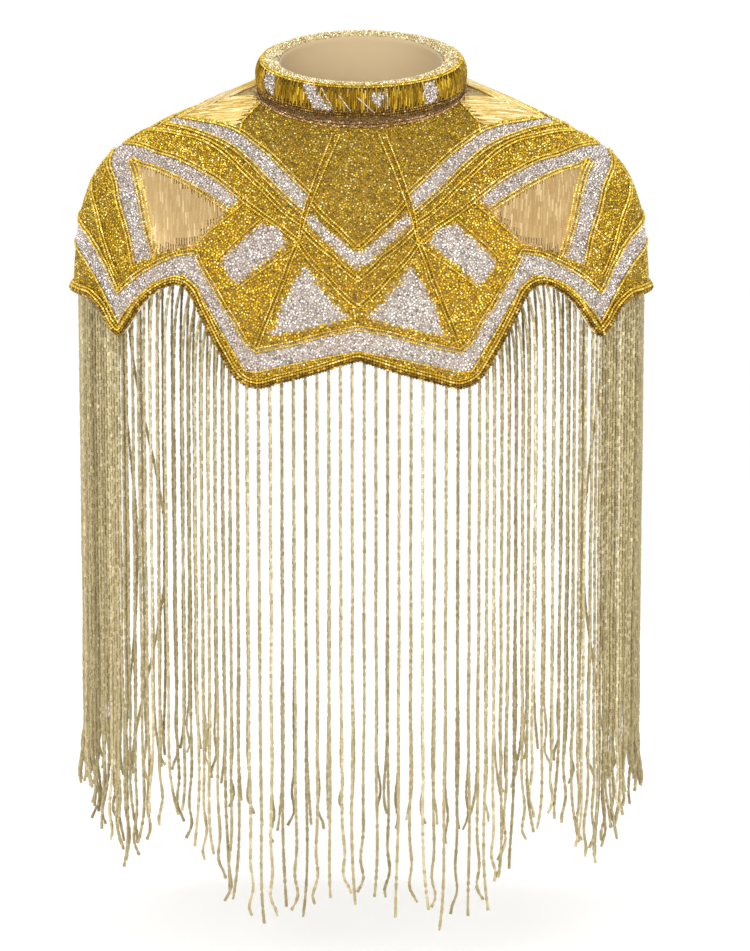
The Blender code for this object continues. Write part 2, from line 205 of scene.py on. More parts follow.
class CapeBeadSettings(bpy.types.PropertyGroup):
    spacing: length_of("Spacing", "Least distance between two beads of a field", 0.00155)
    size: length_of("Size", "Diameter of the beads of a field", 0.0019)
    row_pitch: length_of("Row pitch", "Distance from bead to bead along a raised row", 0.0018)
    row_size: length_of("Row size", "Diameter of the beads of a raised row", 0.0020)
    row_gap: length_of("Row gap", "Distance between the rows of one seam", 0.0027)
    row_room: length_of("Row room", "Bare cloth on each side of a raised row", 0.0015)
    tube_length: length_of("Tube length", "Length of the tube beads", 0.0100)
    tube_width: length_of("Tube width", "Distance between lines of tube beads", 0.00125)
    seed: IntProperty(name="Seed", description="Draw of the beads' places and tints", default=7)


class CapeFringeSettings(bpy.types.PropertyGroup):
    pitch: length_of("Pitch", "Distance from bead to bead down a strand", 0.0026)
    size: length_of("Size", "Diameter of a strand's beads", 0.0023)
    sway: length_of("Sway", "Sway of the free ends", 0.0026)


class CapeStageSettings(bpy.types.PropertyGroup):
    distance: length_of("Distance", "From the camera to the point it looks at", 2.30)
    lens: FloatProperty(name="Lens", description="Focal length in millimetres on a 36 mm frame",
                        default=113.57)
    azimuth: FloatProperty(name="Azimuth", description="Camera's turn to +X, in degrees",
                           default=0.8)
    elevation: FloatProperty(name="Elevation", description="Camera's height angle in degrees",
                             default=8.0)
    floor: colour_of("Floor", "Plain pale floor and backdrop", (0.93, 0.93, 0.93))


# Curves and the yoke's surface, for arrays of places

# Soft troughs in the cloth: middle and half width in degrees round, first and last way, depth
CREASES = (
    (68, 10, 0.30, 0.80, 0.0034),
    (-70, 9, 0.34, 0.78, 0.0030),
    (26, 10, 0.25, 0.70, 0.0012),
    (-31, 12, 0.30, 0.75, 0.0014),
    (104, 11, 0.30, 0.75, 0.0024),
    (-109, 9, 0.28, 0.72, 0.0028),
    (146, 12, 0.30, 0.78, 0.0015),
    (-152, 10, 0.25, 0.70, 0.0013),
)


def curve_of(rows, column):
    x = np.array([row[0] for row in rows], float)
    y = np.array([row[column] for row in rows], float)
    return x, y, np.gradient(y, x)


def read(curve, at):
    """Read a smooth curve through a table's rows."""
    x, y, slope = curve
    at = np.asarray(at, float)
    i = np.clip(np.searchsorted(x, at, side="right") - 1, 0, len(x) - 2)
    h = x[i + 1] - x[i]
    t = np.clip((at - x[i]) / h, 0, 1)
    start = (2 * t**3 - 3 * t**2 + 1) * y[i] + (t**3 - 2 * t**2 + t) * h * slope[i]
    return start + (3 * t**2 - 2 * t**3) * y[i + 1] + (t**3 - t**2) * h * slope[i + 1]


YOKE = {name: curve_of(YOKE_ROWS, k) for k, name in enumerate(YOKE_COLUMNS)}
HEM = curve_of(HEM_ROWS, 1)


def quarter(turn):
    """Degrees round from the nearest middle, front or back."""
    away = np.abs((np.asarray(turn, float) + 180) % 360 - 180)
    return np.minimum(away, 180 - away)


def signed_power(value, power):
    return np.abs(value) ** power * np.where(value >= 0, 1.0, -1.0)


def yoke_points(turn, way):
    turn, way = np.broadcast_arrays(np.asarray(turn, float), np.asarray(way, float))
    s, c = np.sin(np.radians(turn)), np.cos(np.radians(turn))
    power = 2 / read(YOKE["squareness"], way)
    reach = np.where(c >= 0, read(YOKE["front_reach"], way), read(YOKE["back_reach"], way))
    front_z, back_z = read(YOKE["front_z"], way), read(YOKE["back_z"], way)
    side_z = read(YOKE["side_z"], way)
    x = read(YOKE["side_reach"], way) * signed_power(s, power)
    y = -reach * signed_power(c, power)
    z = side_z + (front_z - back_z) / 2 * c + ((front_z + back_z) / 2 - side_z) * c * c
    return np.stack([x, y, z], -1)


def unit(v):
    return v / np.maximum(np.linalg.norm(v, axis=-1, keepdims=True), 1e-12)


def yoke_normals(turn, way):
    """Outward directions, square to the yoke's face."""
    along = yoke_points(turn + 0.5, way) - yoke_points(turn - 0.5, way)
    down = yoke_points(turn, way + 0.01) - yoke_points(turn, np.maximum(way - 0.01, 0))
    return unit(np.cross(down, along))


def crease_depth(turn, way):
    """How far the cloth sinks at its soft creases."""
    deep = np.zeros(np.broadcast(turn, way).shape)
    for middle, width, first, last, depth in CREASES:
        off = np.minimum(np.abs((turn - middle + 180) % 360 - 180) / width, 1.0)
        along = np.clip((way - first) / (last - first), 0, 1)
        deep = deep + depth * np.cos(off * pi / 2) ** 2 * np.sin(along * pi)
    return deep


def off_face(turn, way, outward):
    """Places this far out from the creased face."""
    turn, way = np.asarray(turn, float), np.asarray(way, float)
    away = np.asarray(outward) - crease_depth(turn, way)
    return yoke_points(turn, way) + yoke_normals(turn, way) * away[..., None]


def hem_height(turn):
    away, fold = np.abs((turn + 180) % 360 - 180), quarter(turn)
    share = np.minimum(np.abs(fold - BACK_POINT_MIDDLE) / BACK_POINT_REACH, 1.0)
    lift = BACK_POINT_LIFT * np.cos(share * pi / 2) ** 2
    return read(HEM, fold) + np.where(away > 90, lift, 0.0)


def solve_hem(turn):
    low, high = np.zeros_like(turn), np.full_like(turn, YOKE_ROWS[-1][0])
    height = hem_height(turn)
    for _ in range(30):
        middle = (low + high) / 2
        above = yoke_points(turn, middle)[..., 2] > height
        low, high = np.where(above, middle, low), np.where(above, high, middle)
    return (low + high) / 2


HEM_TURNS = np.linspace(-180, 180, 1441)
HEM_WAYS = solve_hem(HEM_TURNS)


def hem_way(turn):
    return np.interp((np.asarray(turn, float) + 180) % 360 - 180, HEM_TURNS, HEM_WAYS)


# The ornament's chart is drawn for the front. The back's differs below this way only, where
# it follows the back's own hem
SAME_WAY = 0.60


def chart_way(turn, way):
    """The way on the ornament's chart of a place on the yoke."""
    front, own = (np.maximum(hem_way(t) - SAME_WAY, 0.01) for t in (quarter(turn), turn))
    return np.where(way > SAME_WAY, SAME_WAY + (way - SAME_WAY) * front / own, way)


def real_way(turn, way):
    """The way on the yoke of a place on the ornament's chart."""
    front, own = (np.maximum(hem_way(t) - SAME_WAY, 0.01) for t in (quarter(turn), turn))
    return np.where(way > SAME_WAY, SAME_WAY + (way - SAME_WAY) * own / front, way)


def smooth_run(points, curves, step=0.4):
    """A seam's chart points, closely spaced, as straight runs or as one curve."""
    p = np.array(points, float)
    scale = np.array((1.0, 90.0))
    run = np.concatenate([[0], np.cumsum(np.linalg.norm(np.diff(p * scale, axis=0), axis=1))])
    at = np.linspace(0, run[-1], max(int(run[-1] / step), 2) + 1)
    if not curves:
        at = np.unique(np.concatenate([at, run]))
        return np.stack([np.interp(at, run, p[:, k]) for k in (0, 1)], -1)
    return np.stack([read((run, p[:, k], np.gradient(p[:, k], run)), at) for k in (0, 1)], -1)


CURVED = {name for name, rows, curves in RAISED if curves}
RUNS = {name: smooth_run(points, name in CURVED) for name, points in SEAMS.items()}


def inside(polygon, x, y):
    """Which places lie in a closed outline on the chart."""
    found = np.zeros(x.shape, bool)
    p = np.asarray(polygon, float)
    for (x0, y0), (x1, y1) in zip(p, np.roll(p, -1, axis=0)):
        if y0 == y1:
            continue
        crosses = (y0 > y) != (y1 > y)
        found ^= crosses & (x < x0 + (y - y0) * (x1 - x0) / (y1 - y0))
    return found


def between(upper, lower, x, y):
    """Which places lie between two seams that run round the chart."""
    top, foot = RUNS[upper], RUNS[lower]
    if top[0, 0] > top[-1, 0]:
        top, foot = top[::-1], foot[::-1]
    within = (x >= max(top[0, 0], foot[0, 0]) - 1e-6) & (x <= min(top[-1, 0], foot[-1, 0]) + 1e-6)
    return within & (y > np.interp(x, *top.T)) & (y < np.interp(x, *foot.T))


GOLD, SILVER, FAN, CAP = range(4)


def field_at(turn, way):
    """Which bead field each place belongs to."""
    x, y = quarter(turn), chart_way(turn, way)
    field = np.full(x.shape, GOLD)
    arm = np.concatenate([
        RUNS["arm_band_top"][RUNS["arm_band_top"][:, 0] >= 33.4],
        RUNS["fan_top"][::-1],
        RUNS["fan_side"][1:],
        RUNS["arm_band_outer"][::-1],
    ])
    fan = np.concatenate([RUNS["fan_top"], np.array(((34.6, 0.566), (38.6, 0.612))),
                          RUNS["fan_side"][::-1]])
    cap = np.concatenate([RUNS["cap_edge"], RUNS["shoulder_top"][
        RUNS["shoulder_top"][:, 0] > 56.8][::-1], np.array(((90.1, 0.334), (90.1, 0.0), (68.3, 0.0)))])
    field[inside(arm, x, y)] = SILVER
    field[inside(cap, x, y)] = CAP
    field[inside(fan, x, y)] = FAN
    field[between("shoulder_top", "shoulder_foot", x, y)] = SILVER
    field[between("chevron_band_top", "chevron_band_foot", x, y)] = SILVER
    field[inside(SLAB, x, y) | inside(TENT, x, y)] = SILVER
    field[between("hem_band_top", "hem_band_foot", x, y)] = SILVER
    return field


# Shader maths and nodes

class Value:
    """A shader socket that takes part in sums and products."""

    def __init__(self, shader, socket):
        self.shader, self.socket = shader, socket

    def _maths(self, operation, *values):
        return self.shader.node("ShaderNodeMath", {"operation": operation}, *values)

    def __add__(self, other):
        return self._maths("ADD", self, other)

    def __mul__(self, other):
        return self._maths("MULTIPLY", self, other)

    def __sub__(self, other):
        return self._maths("SUBTRACT", self, other)

    def __rsub__(self, other):
        return self._maths("SUBTRACT", other, self)

    __radd__, __rmul__ = __add__, __mul__


class Shader:
    """Builds one material's nodes."""

    def __init__(self, name, **constants):
        self.material = bpy.data.materials.new(name)
        self.material.use_nodes = True
        self.tree = self.material.node_tree
        self.surface = self.tree.nodes["Principled BSDF"]
        for socket, value in constants.items():
            self.surface.inputs[socket.replace("_", " ")].default_value = value

    def node(self, kind, settings=None, *values, output=0, **named):
        made = self.tree.nodes.new(kind)
        for key, value in (settings or {}).items():
            if key == "stops":
                self.set_stops(made.color_ramp, value)
            else:
                setattr(made, key, value)
        for key, value in [*enumerate(values), *named.items()]:
            socket = made.inputs[key if isinstance(key, int) else key.replace("_", " ")]
            self.feed(socket, value)
        return Value(self, made.outputs[output])

    @staticmethod
    def set_stops(ramp, stops):
        while len(ramp.elements) < len(stops):
            ramp.elements.new(0.5)
        for element, (place, colour) in zip(ramp.elements, stops):
            element.position = place
            element.color = (*colour, 1.0)

    def feed(self, socket, value):
        if isinstance(value, Value):
            self.tree.links.new(value.socket, socket)
        elif value is not None:
            socket.default_value = value

    def set(self, socket, value):
        self.feed(self.surface.inputs[socket], value)

    def place(self):
        return self.node("ShaderNodeTexCoord", output="Object")

    def attribute(self, name, output="Fac"):
        return self.node("ShaderNodeAttribute", {"attribute_name": name}, output=output)

    def ramp(self, value, stops, interpolation="LINEAR"):
        made = self.node("ShaderNodeValToRGB", {"stops": stops}, value)
        made.socket.node.color_ramp.interpolation = interpolation
        return made

    def mix(self, factor, first, second, blend="MIX"):
        made = self.tree.nodes.new("ShaderNodeMix")
        made.data_type, made.blend_type = "RGBA", blend
        for index, value in ((0, factor), (6, first), (7, second)):
            self.feed(made.inputs[index], value if isinstance(value, (Value, float, int))
                      else (*value, 1.0))
        return Value(self, made.outputs[2])

    def bump(self, height, strength, distance):
        return self.node("ShaderNodeBump", None, Strength=strength, Distance=distance,
                         Height=height, output="Normal")


# Bead tints, from the darkest beads to the lightest, as shares of the beads drawn; in most, the
# lightest stop is a painted glint
TINTS = {
    "gold": ((0.00, (0.28, 0.155, 0.003)), (0.28, (0.42, 0.255, 0.005)),
             (0.60, (0.59, 0.385, 0.010)), (0.88, (0.79, 0.56, 0.040)), (1.00, (0.96, 0.82, 0.30))),
    "silver": ((0.00, (0.34, 0.29, 0.24)), (0.28, (0.50, 0.445, 0.38)),
               (0.58, (0.66, 0.60, 0.53)), (0.74, (0.69, 0.61, 0.61)), (1.00, (1.0, 0.97, 0.91))),
    "fan": ((0.00, (0.39, 0.255, 0.10)), (0.50, (0.445, 0.30, 0.12)),
            (0.85, (0.51, 0.36, 0.165)), (1.00, (0.66, 0.51, 0.28))),
    # Pale gold tubes: partly their own pale gold, partly painted light on the upward shoulder tops
    "cap": ((0.00, (0.44, 0.27, 0.05)), (0.40, (0.66, 0.46, 0.12)), (0.75, (0.80, 0.62, 0.24)),
            (1.00, (0.95, 0.86, 0.52))),
    "rim": ((0.00, (0.50, 0.36, 0.13)), (0.35, (0.70, 0.57, 0.28)), (0.70, (0.84, 0.74, 0.46)),
            (1.00, (1.0, 0.93, 0.70))),
    "row": ((0.00, (0.44, 0.27, 0.012)), (0.40, (0.62, 0.41, 0.03)), (0.75, (0.78, 0.55, 0.07)),
            (1.00, (0.96, 0.78, 0.26))),
    "rope": ((0.00, (0.10, 0.05, 0.004)), (0.45, (0.22, 0.12, 0.010)), (0.80, (0.42, 0.25, 0.025)),
             (1.00, (0.80, 0.56, 0.14))),
    "amber": ((0.00, (0.17, 0.085, 0.003)), (0.35, (0.25, 0.140, 0.004)),
              (0.70, (0.34, 0.205, 0.007)), (1.00, (0.52, 0.345, 0.035))),
    # Painted shade: gold cords under the collar's bulge, tinted dark
    "dark": ((0.00, (0.10, 0.045, 0.006)), (0.60, (0.22, 0.115, 0.018)),
             (1.00, (0.42, 0.26, 0.06))),
    # Painted shade: the foot rows below the collar, tinted darker
    "umber": ((0.00, (0.16, 0.070, 0.015)), (0.50, (0.34, 0.185, 0.060)),
              (1.00, (0.70, 0.49, 0.25))),
    "strand": ((0.00, (0.22, 0.17, 0.074)), (0.35, (0.33, 0.265, 0.125)),
               (0.75, (0.44, 0.36, 0.182)), (1.00, (0.63, 0.54, 0.33))),
}


# Painted shade and light on the gold beads, by the square of their distance from the middle:
# darkest painted shade round the neck, painted light over the shoulders, painted shade again down the
# sides
SHADE_SPAN = 0.05
SHADE_MOST = 1.30
SHADE_STOPS = ((0.15, 0.50), (0.24, 0.61), (0.34, 0.95), (0.56, 0.95), (0.74, 0.78), (0.90, 0.68))


def painted_ring_shade(shader):
    apart = shader.node("ShaderNodeSeparateXYZ", None, shader.place()).socket.node
    x, y = (Value(shader, apart.outputs[k]) for k in (0, 1))
    far = (x * x + y * y) * (1 / SHADE_SPAN)
    stops = tuple((place, (shade, shade, shade)) for place, shade in SHADE_STOPS)
    grey = shader.ramp(far, stops)
    return shader.node("ShaderNodeVectorMath", {"operation": "SCALE"}, grey,
                       Scale=SHADE_MOST / 0.95)


def bead_material(name, tints, metallic=0.6, roughness=0.34, blush=None, with_painted_shade=False):
    shader = Shader(name, Metallic=metallic, Roughness=roughness, Coat_Weight=0.06,
                    Coat_Roughness=0.12, IOR=1.45)
    tint = shader.attribute("tint")
    if tints == "strand":
        tint = tint * 0.22 + shader.attribute("shade") * 0.78
    grime = shader.node("ShaderNodeTexNoise", None, Vector=shader.place(), Scale=38.0, Detail=3.0)
    drift = tint + (grime - 0.5) * 0.35
    colour = shader.ramp(drift, TINTS[tints])
    # Gold beads: painted shade round the neck and down the sides, painted light over the shoulders
    if with_painted_shade:
        colour = shader.mix(1.0, colour, painted_ring_shade(shader), "MULTIPLY")
    if blush:
        bloom = shader.node("ShaderNodeTexNoise", None, Vector=shader.place(), Scale=21.0)
        warm = shader.ramp(bloom, ((0.42, (1.0, 1.0, 1.0)), (0.62, blush)))
        colour = shader.mix(1.0, colour, warm, "MULTIPLY")
    shader.set("Base Color", colour)
    shader.set("Roughness", tint * -0.14 + (roughness + 0.08))
    return shader.material


def ground_material():
    """The cloth between the beads, in each field's own colour, with the finest beads raised."""
    shader = Shader("bead_ground", Roughness=0.45, Metallic=0.35)
    colour = shader.attribute("field_colour", "Color")
    place = shader.place()
    cells = shader.node("ShaderNodeTexVoronoi", {"feature": "F1"}, Vector=place, Scale=620.0)
    speck = shader.node("ShaderNodeTexVoronoi", {"feature": "F1"}, Vector=place, Scale=620.0,
                        output="Color")
    lightness = shader.node("ShaderNodeSeparateColor", None, speck)
    shade = shader.ramp(lightness, ((0.0, (0.30, 0.30, 0.30)), (0.6, (0.75, 0.75, 0.75)),
                                    (1.0, (1.0, 1.0, 1.0))))
    shader.set("Base Color", shader.mix(1.0, colour, shade, "MULTIPLY"))
    shader.set("Normal", shader.bump(1 - cells * 1.6, 0.7, 0.0008))
    return shader.material


def lining_material(name, colour):
    shader = Shader(name, Roughness=0.62, Sheen_Weight=0.25, Sheen_Roughness=0.4)
    place = shader.place()
    weave_x = shader.node("ShaderNodeTexWave", {"bands_direction": "Z"}, Vector=place,
                          Scale=420.0, Distortion=0.6, Detail=1.0)
    soft = shader.node("ShaderNodeTexNoise", None, Vector=place, Scale=14.0, Detail=3.0)
    darker = tuple(c * 0.82 for c in colour)
    shader.set("Base Color", shader.mix(soft, darker, colour))
    shader.set("Normal", shader.bump(weave_x, 0.18, 0.0003))
    return shader.material


# Meshes

def new_mesh(name, points, faces=(), edges=(), smooth=True):
    mesh = bpy.data.meshes.new(name)
    mesh.from_pydata(np.asarray(points, float).reshape(-1, 3).tolist(), list(edges),
                     [tuple(f) for f in faces])
    if smooth and len(faces):
        mesh.shade_smooth()
    return mesh


def new_piece(name, mesh, *materials):
    piece = bpy.data.objects.new(name, mesh)
    bpy.context.scene.collection.objects.link(piece)
    for material in materials:
        mesh.materials.append(material)
    return piece


def settle(piece, slot, *nodes):
    """Tie a finished piece to the model's body and hide the solids it stands for; the finish it is
    given is not used.
    """
    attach(piece, BODY)
    if nodes:
        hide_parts(*nodes)
    return piece


def grid_faces(rows, columns, start=0):
    """Quads of a grid whose points run along the columns first."""
    r, c = np.meshgrid(np.arange(rows - 1), np.arange(columns - 1), indexing="ij")
    a = start + r * columns + c
    return np.stack([a, a + columns, a + columns + 1, a + 1], -1).reshape(-1, 4)


def make_outward(mesh):
    shell = bmesh.new()
    shell.from_mesh(mesh)
    bmesh.ops.recalc_face_normals(shell, faces=shell.faces)
    shell.to_mesh(mesh)
    shell.free()


# Node trees that lay beads

class Lay:
    """Builds one Geometry Nodes tree and applies it to a carrier mesh."""

    def __init__(self, name, inputs):
        self.tree = bpy.data.node_groups.new(name, "GeometryNodeTree")
        face = self.tree.interface
        face.new_socket("Geometry", in_out="INPUT", socket_type="NodeSocketGeometry")
        self.ids = {}
        for label, kind in inputs.items():
            self.ids[label] = face.new_socket(label, in_out="INPUT", socket_type=kind).identifier
        face.new_socket("Geometry", in_out="OUTPUT", socket_type="NodeSocketGeometry")
        self.start = self.tree.nodes.new("NodeGroupInput")
        self.end = self.tree.nodes.new("NodeGroupOutput")

    def input(self, label):
        return self.start.outputs[label]

    def node(self, kind, settings=None, **sockets):
        made = self.tree.nodes.new(kind)
        for key, value in (settings or {}).items():
            setattr(made, key, value)
        for key, value in sockets.items():
            self.feed(made.inputs[key.replace("_", " ")], value)
        return made

    def feed(self, socket, value):
        if isinstance(value, bpy.types.NodeSocket):
            self.tree.links.new(value, socket)
        else:
            socket.default_value = value

    def random(self, low, high, seed):
        made = self.node("FunctionNodeRandomValue", {"data_type": "FLOAT"})
        self.feed(made.inputs[2], low)
        self.feed(made.inputs[3], high)
        self.feed(made.inputs["Seed"], seed)
        return made.outputs[1]

    def random_vector(self, low, high, seed):
        made = self.node("FunctionNodeRandomValue", {"data_type": "FLOAT_VECTOR"})
        self.feed(made.inputs[0], low)
        self.feed(made.inputs[1], high)
        self.feed(made.inputs["Seed"], seed)
        return made.outputs[0]

    def finish(self, placed):
        """Tint each bead, then turn the instances into one mesh with its material."""
        flat = self.node("GeometryNodeSetShadeSmooth", Geometry=placed, Shade_Smooth=False)
        tinted = self.node("GeometryNodeStoreNamedAttribute",
                           {"data_type": "FLOAT", "domain": "INSTANCE"},
                           Geometry=flat.outputs[0], Name="tint",
                           Value=self.random(0.0, 1.0, self.input("Seed")))
        real = self.node("GeometryNodeRealizeInstances", Geometry=tinted.outputs[0])
        shown = self.node("GeometryNodeSetMaterial", Geometry=real.outputs[0],
                          Material=self.input("Material"))
        self.tree.links.new(shown.outputs[0], self.end.inputs[0])

    def apply(self, name, carrier, material, **values):
        """Run the tree on a carrier mesh and return the result as a plain piece."""
        helper = new_piece(name + "_carrier", carrier)
        modifier = helper.modifiers.new(name, "NODES")
        modifier.node_group = self.tree
        for label, value in {**values, "Material": material}.items():
            modifier[self.ids[label.replace("_", " ")]] = value
        bpy.context.view_layer.update()
        ready = helper.evaluated_get(bpy.context.evaluated_depsgraph_get())
        mesh = bpy.data.meshes.new_from_object(ready)
        mesh.name = name
        bpy.data.objects.remove(helper)
        bpy.data.meshes.remove(carrier)
        mesh.materials.clear()
        return new_piece(name, mesh, material)


def field_tree():
    """Beads strewn over a surface, close but never nearer than the spacing."""
    lay = Lay("bead_field", {"Spacing": "NodeSocketFloat", "Size": "NodeSocketFloat",
                             "Seed": "NodeSocketInt", "Material": "NodeSocketMaterial"})
    points = lay.node("GeometryNodeDistributePointsOnFaces", {"distribute_method": "POISSON"},
                      Mesh=lay.input("Geometry"), Distance_Min=lay.input("Spacing"),
                      Density_Max=900000.0, Seed=lay.input("Seed"))
    bead = lay.node("GeometryNodeMeshUVSphere", Segments=5, Rings=2, Radius=0.5)
    tumble = lay.node("FunctionNodeRotateRotation", {"rotation_space": "LOCAL"})
    lay.feed(tumble.inputs[0], points.outputs["Rotation"])
    lay.feed(tumble.inputs[1], lay.random_vector((-0.5, -0.5, 0.0), (0.5, 0.5, 6.28), 3))
    size = lay.node("ShaderNodeMath", {"operation": "MULTIPLY"})
    lay.feed(size.inputs[0], lay.input("Size"))
    lay.feed(size.inputs[1], lay.random(0.86, 1.12, 5))
    squash = lay.node("ShaderNodeVectorMath", {"operation": "SCALE"})
    squash.inputs[0].default_value = (1.0, 1.0, 0.72)
    lay.feed(squash.inputs["Scale"], size.outputs[0])
    placed = lay.node("GeometryNodeInstanceOnPoints", Points=points.outputs["Points"],
                      Instance=bead.outputs["Mesh"], Rotation=tumble.outputs[0],
                      Scale=squash.outputs[0])
    lay.finish(placed.outputs[0])
    return lay


def row_tree(square=False):
    """Beads threaded along lines, round or with four flat sides."""
    lay = Lay("bead_row", {"Pitch": "NodeSocketFloat", "Size": "NodeSocketFloat",
                           "Seed": "NodeSocketInt", "Material": "NodeSocketMaterial"})
    line = lay.node("GeometryNodeMeshToCurve", Mesh=lay.input("Geometry"))
    spaced = lay.node("GeometryNodeResampleCurve", {"mode": "LENGTH"}, Curve=line.outputs[0],
                      Length=lay.input("Pitch"))
    if square:
        bead = lay.node("GeometryNodeMeshCylinder", Vertices=4, Radius=0.5, Depth=1.0)
        overlap = 0.97
    else:
        bead = lay.node("GeometryNodeMeshUVSphere", Segments=5, Rings=2, Radius=0.5)
        overlap = 1.32
    tangent = lay.node("GeometryNodeInputTangent")
    aligned = lay.node("FunctionNodeAlignRotationToVector", {"axis": "Z"},
                       Vector=tangent.outputs[0])
    spun = lay.node("FunctionNodeRotateRotation", {"rotation_space": "LOCAL"})
    lay.feed(spun.inputs[0], aligned.outputs[0])
    lay.feed(spun.inputs[1], lay.random_vector((-0.12, -0.12, 0.0), (0.12, 0.12, 6.28), 3))
    length = lay.node("ShaderNodeMath", {"operation": "MULTIPLY"})
    lay.feed(length.inputs[0], lay.input("Pitch"))
    lay.feed(length.inputs[1], overlap)
    width = lay.node("ShaderNodeMath", {"operation": "MULTIPLY"})
    lay.feed(width.inputs[0], lay.input("Size"))
    lay.feed(width.inputs[1], lay.random(0.9, 1.1, 5))
    scale = lay.node("ShaderNodeCombineXYZ", X=width.outputs[0], Y=width.outputs[0],
                     Z=length.outputs[0])
    placed = lay.node("GeometryNodeInstanceOnPoints", Points=spaced.outputs[0],
                      Instance=bead.outputs["Mesh"], Rotation=spun.outputs[0],
                      Scale=scale.outputs[0])
    lay.finish(placed.outputs[0])
    return lay


def tube_tree():
    """Tube beads, one on each point of the carrier, along its stored direction."""
    lay = Lay("tube_beads", {"Length": "NodeSocketFloat", "Size": "NodeSocketFloat",
                              "Seed": "NodeSocketInt", "Material": "NodeSocketMaterial"})
    grain = lay.node("GeometryNodeInputNamedAttribute", {"data_type": "FLOAT_VECTOR"},
                     Name="grain")
    aligned = lay.node("FunctionNodeAlignRotationToVector", {"axis": "Z"},
                       Vector=grain.outputs[0])
    bead = lay.node("GeometryNodeMeshCylinder", None, Vertices=5,
                    Radius=0.5, Depth=1.0)
    scale = lay.node("ShaderNodeCombineXYZ", X=lay.input("Size"), Y=lay.input("Size"),
                     Z=lay.input("Length"))
    points = lay.node("GeometryNodeMeshToPoints", Mesh=lay.input("Geometry"))
    placed = lay.node("GeometryNodeInstanceOnPoints", Points=points.outputs[0],
                      Instance=bead.outputs["Mesh"], Rotation=aligned.outputs[0],
                      Scale=scale.outputs[0])
    lay.finish(placed.outputs[0])
    return lay


# The cloth

SEAM_GAP = 0.00004
FRONT, BACK_RIGHT, BACK_LEFT = "front", "back_right", "back_left"
PARTS = ((FRONT, -90.0, 90.0), (BACK_RIGHT, 90.0, 180.0), (BACK_LEFT, -180.0, -90.0))
PANEL_OF = {FRONT: "front_panel", BACK_RIGHT: "back_panel_right", BACK_LEFT: "back_panel_left"}
# The tan ground is lighter than its tube beads: painted light that lifts the shade in the slots
# between the tubes
FIELD_COLOURS = {GOLD: (0.30, 0.165, 0.008), SILVER: (0.42, 0.36, 0.30), FAN: (0.80, 0.54, 0.25),
                 CAP: (0.52, 0.35, 0.08)}


def keep_off_seams(points, start, end):
    """Move what crosses a panel's end seams back to its own side, half a gap away."""
    half = SEAM_GAP / 2
    x, y = points[..., 0], points[..., 1]
    if start == -90.0:
        points[..., 1] = np.minimum(y, -half)
    else:
        points[..., 1] = np.maximum(y, half)
        points[..., 0] = np.maximum(x, half) if start > 0 else np.minimum(x, -half)
    return points


def panel_grid(start, end, cell, outward=0.0, low=0.0):
    """Points of a panel's face from the neck to the hem, with their turns and ways."""
    columns = int((end - start) * 0.0021 / cell * 1.5) + 2
    rows = int(0.25 / cell) + 2
    turns = np.linspace(start, end, columns)[None, :]
    share = np.linspace(low, 1.0, rows)[:, None]
    turns, ways = np.broadcast_to(turns, (rows, columns)), share * hem_way(turns)
    points = off_face(turns, ways, np.full(turns.shape, outward))
    return points, turns, ways


def build_cloth(label, start, end, cell, lining):
    outer, turns, ways = panel_grid(start, end, cell)
    inner, _, _ = panel_grid(start, end, cell * 4, -CLOTH)
    inner = off_face(turns, ways, np.full(turns.shape, -CLOTH))
    rows, columns = turns.shape
    both = np.concatenate([outer.reshape(-1, 3), inner.reshape(-1, 3)])
    count = rows * columns
    grid = np.arange(count).reshape(rows, columns)
    ring = np.concatenate([grid[0], grid[1:, -1], grid[-1, -2::-1], grid[-2:0:-1, 0]])
    after = np.roll(ring, -1)
    rim = np.stack([ring, after, after + count, ring + count], -1)
    faces = np.concatenate([grid_faces(rows, columns),
                            grid_faces(rows, columns, count)[:, ::-1], rim])
    mesh = new_mesh("cloth_" + label, keep_off_seams(both, start, end), faces)
    make_outward(mesh)
    kinds = mesh.attributes.new("field_colour", "FLOAT_COLOR", "POINT")
    field = field_at(turns, ways).reshape(-1)
    colour = np.array([(*FIELD_COLOURS[f], 1.0) for f in range(4)])[field]
    kinds.data.foreach_set("color", np.concatenate([colour, colour]).astype("f").reshape(-1))
    piece = new_piece("cloth_" + label, mesh, bpy.data.materials["bead_ground"], lining)
    outside = (rows - 1) * (columns - 1)
    marks = np.zeros(len(mesh.polygons), dtype=np.int32)
    marks[outside:outside * 2] = 1
    mesh.polygons.foreach_set("material_index", marks)
    return piece


class CAPE_OT_cloth(bpy.types.Operator):
    """Build the yoke's three cloth shells, with their fields in their colours"""
    bl_idname = "cape.cloth"
    bl_label = "Cloth"

    def execute(self, context):
        settings = context.scene.cape_cloth
        ground_material()
        lining = lining_material("lining_cloth", tuple(settings.lining))
        for label, start, end in PARTS:
            piece = build_cloth(label, start, end, settings.cell, lining)
            settle(piece, "bead_cloth", PANEL_OF[label])
            _, turns, ways = panel_grid(start, end, 0.004)
            flat = flat_size(start, end)
        return {"FINISHED"}


def flat_size(start, end):
    """Width and length of the cloth that a panel was cut from, and the area it uses."""
    points, _, _ = panel_grid(start, end, 0.003)
    across = np.linalg.norm(np.diff(points, axis=1), axis=-1)
    down = np.linalg.norm(np.diff(points, axis=0), axis=-1)
    cells = np.linalg.norm(np.cross(points[1:, :-1] - points[:-1, :-1],
                                    points[:-1, 1:] - points[:-1, :-1]), axis=-1)
    width, length = across.sum(axis=1).max(), down.sum(axis=0).max()
    return float(width), float(length), float(min(cells.sum(), width * length))


# Beads on the fields

FIELD_NAMES = {GOLD: "gold", SILVER: "silver"}


def middle_of(values, quads):
    return values.reshape(-1)[quads].mean(axis=1)


